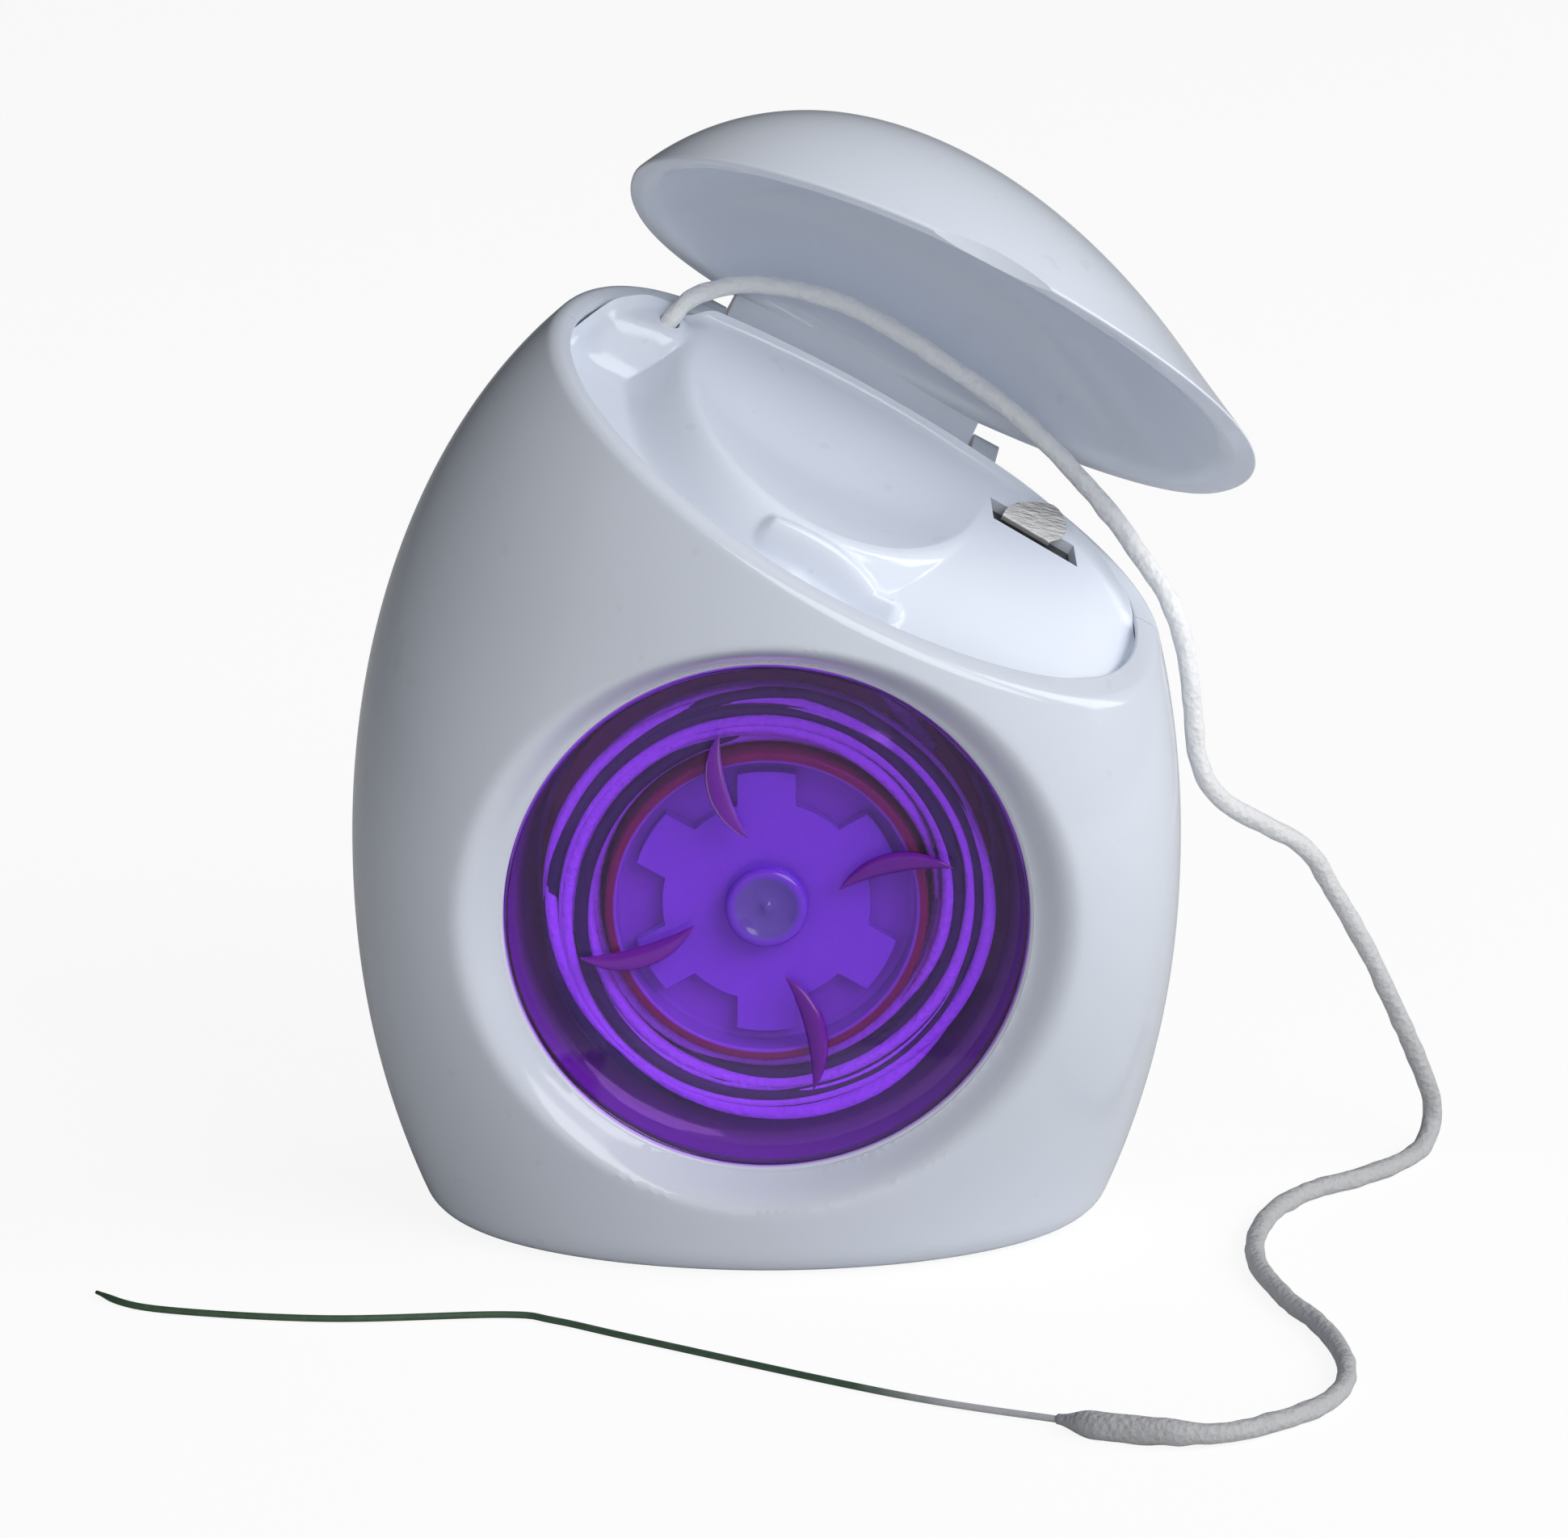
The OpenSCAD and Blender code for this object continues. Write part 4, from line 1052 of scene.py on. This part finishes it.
def makeWinding():
    made = []
    for dark in (False, True):
        points, faces = [], []
        for seed, (depth, start, turns, reach, isDark) in enumerate(windingRuns):
            if isDark != dark:
                continue
            path, radii = windingRun(depth, start, turns, reach, isDark, seed)
            rings = tube(path, radii, 12, 0 if isDark else 0.03, seed + 40)
            faces += shifted(tubeFaces(len(path), 12), sum(len(p) for p in points))
            points.append(np.concatenate([rings.reshape(-1, 3), [path[0]], [path[-1]]]))
        name = "winding_gap_shade_runs" if dark else "winding_white_runs"
        piece = makeMesh(name, np.concatenate(points), faces, "reel")
        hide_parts("floss_winding")
        made.append(piece)
    return made


whiteRuns, gapShadeRuns = makeWinding()
print("winding laid", len(whiteRuns.data.polygons) + len(gapShadeRuns.data.polygons))

# Finishes

shellFinish = {"colour": (0.67, 0.71, 0.785), "deeper": (0.635, 0.675, 0.75), "rough": 0.14}


def whitePlastic(name, shift=0.0, pale=1.0):
    coat = Coat(name)
    cloud = coat.noise(38, 3, 0.55)
    fine = coat.noise(2600, 2, 0.6)
    specks = coat.node("ShaderNodeValToRGB", {"stops": [(0.0, 0.0), (0.735, 0.0), (0.76, 1.0)]},
                       {0: coat.noise(520, 1, 0.5)})
    # pale above 1 is painted light: the same plastic made lighter on the deck and the lid, which lie in the
    # open lid's shade
    base = coat.mixed(cloud, *(tuple(pale * c for c in shellFinish[key]) for key in ("colour", "deeper")))
    base = coat.mixed(specks * 0.1, base, (0.42, 0.42, 0.44))
    rough = shellFinish["rough"] + shift + 0.07 * (cloud - 0.5) + 0.05 * (fine - 0.5)
    skin = coat.noise(150, 4, 0.5) * 0.7 + fine * 0.3
    shader = coat.shade({"Base Color": base, "Roughness": rough, "IOR": 1.47,
                         "Normal": coat.bump(skin, 0.06, 0.0004)})
    return coat.close(shader)


def clearViolet(name):
    coat = Coat(name)
    cloud = coat.noise(60, 2, 0.5)
    base = coat.mixed(cloud, (0.55, 0.23, 0.96), (0.52, 0.2, 0.94))
    rough = 0.02 + 0.05 * cloud
    glass = coat.shade({"Base Color": base, "Roughness": rough, "IOR": 1.46,
                        "Transmission Weight": 1.0,
                        "Normal": coat.bump(coat.noise(240, 3, 0.5), 0.05, 0.0004)})
    thin = coat.node("ShaderNodeBsdfTransparent", {}, {"Color": (0.68, 0.36, 0.97)})
    lamps = coat.node("ShaderNodeLightPath", out="Is Shadow Ray")
    return coat.close(coat.node("ShaderNodeMixShader", {}, {0: lamps, 1: glass, 2: thin}))


def spongyFloss(name, colour, darkFibreAndShade, low=1.0):   # low: how light the painted shade near the table is, as a share of the darker fibre colour
    coat = Coat(name)
    fibre = coat.noise(1500, 4, 0.7)
    cells = coat.node("ShaderNodeTexVoronoi", {}, {"Vector": coat.where(), "Scale": 2100})
    base = coat.mixed(fibre, darkFibreAndShade, colour)
    if low < 1:
        # painted shade: the floss darkens from 45 mm high down to 6 mm, standing in for the weaker light
        # near the table
        height = coat.node("ShaderNodeSeparateXYZ", {}, {0: coat.where()}).socket.node.outputs[2]
        near = 1.0 - coat.span(Wire(coat, height), 0.006, 0.045)
        base = coat.mixed(near, base, tuple(low * c for c in darkFibreAndShade))
    shader = coat.shade({"Base Color": base, "Roughness": 0.55 + 0.3 * fibre,
                         "Normal": coat.bump(fibre * 0.6 + cells * 0.4, 0.7, 0.0004)})
    return coat.close(shader)


def threaderFinish(name):
    coat = Coat(name)
    place = coat.node("ShaderNodeSeparateXYZ", {}, {0: coat.where()})
    turn = coat.span(place, 0.006, 0.013)
    fibre = coat.noise(900, 3, 0.6)
    green = coat.mixed(fibre, (0.022, 0.062, 0.03), (0.075, 0.13, 0.075))
    pale = coat.mixed(fibre, (0.4, 0.41, 0.43), (0.56, 0.57, 0.6))
    shader = coat.shade({"Base Color": coat.mixed(turn, green, pale), "Roughness": 0.35 + 0.3 * fibre,
                         "Normal": coat.bump(fibre, 0.4, 0.0002)})
    return coat.close(shader)


# near-black runs that paint the shade in the gaps between the white turns
def gapShadeRun(name):
    coat = Coat(name)
    fibre = coat.noise(1100, 3, 0.6)
    base = coat.mixed(fibre, (0.012, 0.03, 0.03), (0.05, 0.07, 0.07))
    return coat.close(coat.shade({"Base Color": base, "Roughness": 0.4 + 0.3 * fibre,
                                  "Normal": coat.bump(fibre, 0.35, 0.0003)}))


def mouldedPlastic(name, colour, deeper, rough):
    coat = Coat(name)
    cloud = coat.noise(90, 3, 0.6)
    base = coat.mixed(cloud, deeper, colour)
    shader = coat.shade({"Base Color": base, "Roughness": rough + 0.12 * (cloud - 0.5),
                         "Normal": coat.bump(coat.noise(900, 3, 0.6), 0.12, 0.0003)})
    return coat.close(shader)


def reelPlastic(name):                          # raspberry reel; its web inside the hub is painted pale grey as painted light, lifting the shade in the deep pockets
    coat = Coat(name)
    cloud = coat.noise(90, 3, 0.6)
    wall = coat.mixed(cloud, (0.30, 0.004, 0.03), (0.36, 0.006, 0.045))
    # painted light: the web's pale grey stands in for light in the deep pockets behind the retainer's lugs
    web = coat.mixed(cloud, (0.43, 0.45, 0.50), (0.47, 0.49, 0.54))
    out = coat.span(coat.reach((1, 0, 1), (0, 0, dish["z"] * mm)), 0.01095, 0.0111)
    shader = coat.shade({"Base Color": coat.mixed(out, web, wall), "Roughness": 0.3 + 0.12 * (cloud - 0.5),
                         "Normal": coat.bump(coat.noise(900, 3, 0.6), 0.12, 0.0003)})
    return coat.close(shader)


def ribViolet(name):                            # the same plastic, painted a deeper violet on the ribs for light's longer path through them edge-on, and a brighter violet on the boss ring as a painted highlight
    coat = Coat(name)
    cloud = coat.noise(300, 3, 0.5)
    away = coat.reach((1, 0, 1), (0, 0, dish["z"] * mm))
    # painted: the ribs' deeper violet stands in for light passing edge-on through the clear plastic
    edge = coat.mixed(cloud, (0.19, 0.016, 0.42), (0.25, 0.024, 0.52))
    # painted highlight: the boss's ring is a brighter violet than its dimple
    ring = coat.mixed(coat.span(away, 0.0021, 0.0025), (0.19, 0.10, 0.62), (0.25, 0.06, 0.95))
    base = coat.mixed(coat.span(away, 0.0031, 0.0036), ring, edge)
    shader = coat.shade({"Base Color": base, "Roughness": 0.12 + 0.06 * cloud, "IOR": 1.46,
                         "Transmission Weight": 0.3,
                         "Normal": coat.bump(cloud, 0.05, 0.0003)})
    return coat.close(shader)


def brightSteel(name, colour, rough):
    coat = Coat(name)
    stretch = coat.node("ShaderNodeMapping", {}, {"Vector": coat.where(), "Scale": (300, 6000, 3000)})
    grain = coat.noise(1, 3, 0.6, stretch)
    cloud = coat.noise(300, 3, 0.6)
    base = coat.mixed(cloud, colour, tuple(0.8 * c for c in colour))
    shader = coat.shade({"Base Color": base, "Metallic": 1.0,
                         "Roughness": rough + 0.16 * grain,
                         "Normal": coat.bump(grain, 0.08, 0.0002)})
    return coat.close(shader)


shellWhite = whitePlastic("glossy white plastic")
# the deck and the lid are the shell's plastic with painted light, lifted by 24 and 20 per cent
deckWhitePaintedLight = whitePlastic("painted-light white deck plastic", -0.04, 1.24)
lidWhitePaintedLight = whitePlastic("painted-light white lid plastic", 0.0, 1.2)
wear(frontShell, shellWhite)
wear(rearShell, shellWhite)
wear(lid, lidWhitePaintedLight)
wear(deck, deckWhitePaintedLight)
wear(window, clearViolet("clear violet plastic"))
wear(ribs, ribViolet("rib violet plastic"))
# the free strand's floss carries painted shade towards the table
spongyWhiteShadedLow = spongyFloss("spongy white floss", (0.97, 0.975, 0.98), (0.87, 0.88, 0.9), 0.55)
wear(strand, spongyWhiteShadedLow)
wear(whiteRuns, spongyFloss("wound white floss", (0.92, 0.92, 0.94), (0.74, 0.75, 0.8)))
wear(gapShadeRuns, gapShadeRun("near-black gap shade runs"))
wear(threader, threaderFinish("stiff threader"))
wear(reel, reelPlastic("raspberry reel with painted-light web"))
dress("cassette_tray", mouldedPlastic("pale tray plastic", (0.5, 0.24, 0.46), (0.44, 0.2, 0.4), 0.4))
dress("reel_retainer", mouldedPlastic("natural retainer plastic", (0.48, 0.55, 0.62),
                                      (0.42, 0.49, 0.56), 0.35))
wear(cutter, brightSteel("bright cutter steel", (0.2, 0.2, 0.2), 0.14))
dress("hinge_pin", brightSteel("pin steel", (0.6, 0.6, 0.6), 0.2))
print("finishes made")

# Stage: a pale table, a white surround for the camera, and soft lamps

stageLook = {"half": 3.0, "glow": 0.9, "table": 0.12, "bounce": 0.76}
lamps = [
    # name, direction it comes from (turn from the front, height), away, wide, tall, watts, colour
    ("key sheet", (42, 34), 1.0, 0.7, 0.6, 5.6, (0.99, 0.992, 1.0)),
    ("tall window", (88, 28), 0.8, 0.3, 0.5, 2.3, (1.0, 0.99, 0.98)),
    ("front sheet", (-12, 14), 1.3, 1.6, 0.9, 2.1, (0.98, 0.99, 1.0))]


def cameraLike(coat):                           # what the camera sees itself or through the window
    path = coat.tree.nodes.new("ShaderNodeLightPath")
    seen = Wire(coat, path.outputs["Is Camera Ray"]) + Wire(coat, path.outputs["Is Transmission Ray"])
    return coat.node("ShaderNodeClamp", {}, {0: seen})


def makeTable():
    coat = Coat("pale table")
    cloud = coat.noise(6, 3, 0.5)
    lit = coat.node("ShaderNodeBsdfDiffuse", {}, {"Color": coat.mixed(
        cloud, (stageLook["bounce"],) * 3, (stageLook["bounce"] * 1.03,) * 3)})
    weak = coat.node("ShaderNodeBsdfDiffuse", {}, {"Color": (stageLook["table"],) * 3})
    glow = coat.node("ShaderNodeEmission", {}, {"Strength": stageLook["glow"]})
    seen = coat.node("ShaderNodeAddShader", {}, {0: glow, 1: weak})
    shader = coat.node("ShaderNodeMixShader", {}, {0: cameraLike(coat), 1: lit, 2: seen})
    coat.close(shader)
    h = stageLook["half"] / mm
    table = makeMesh("table", [(-h, -h, -0.01), (h, -h, -0.01), (h, h, -0.01), (-h, h, -0.01)],
                     [(0, 1, 2, 3)], None, smooth=False)
    wear(table, coat.material)


def makeWorld():
    world = bpy.data.worlds.new("studio")
    bpy.context.scene.world = world
    coat = Coat("studio", world)
    way = coat.node("ShaderNodeSeparateXYZ", {}, {0: coat.node("ShaderNodeTexCoord", out="Generated")})
    right, front = way, Wire(coat, way.socket.node.outputs[1]) * -1.0
    strength = coat.node("ShaderNodeClamp", {}, {0: 0.13 + 0.07 * right + 0.1 * front, 1: 0.03, 2: 1.0})
    soft = coat.node("ShaderNodeBackground", {}, {"Color": (0.93, 0.96, 1.0), "Strength": strength})
    white = coat.node("ShaderNodeBackground", {}, {"Color": (1, 1, 1), "Strength": 1.0})
    coat.close(coat.node("ShaderNodeMixShader", {}, {0: cameraLike(coat), 1: soft, 2: white}))


def makeLamps():
    for name, (turn, height), away, wide, tall, watts, colour in lamps:
        data = bpy.data.lights.new(name, "AREA")
        data.shape = "RECTANGLE"
        data.size = wide
        data.size_y = tall
        data.energy = watts
        data.color = colour
        lamp = bpy.data.objects.new(name, data)
        turn, height = math.radians(turn), math.radians(height)
        way = Vector((math.sin(turn) * math.cos(height), -math.cos(turn) * math.cos(height),
                      math.sin(height)))
        lamp.location = Vector((0, 0, 0.04)) + away * way
        lamp.rotation_euler = way.to_track_quat("Z", "Y").to_euler()
        bpy.context.scene.collection.objects.link(lamp)


makeTable()
makeWorld()
makeLamps()
bpy.context.scene.view_settings.view_transform = "Standard"
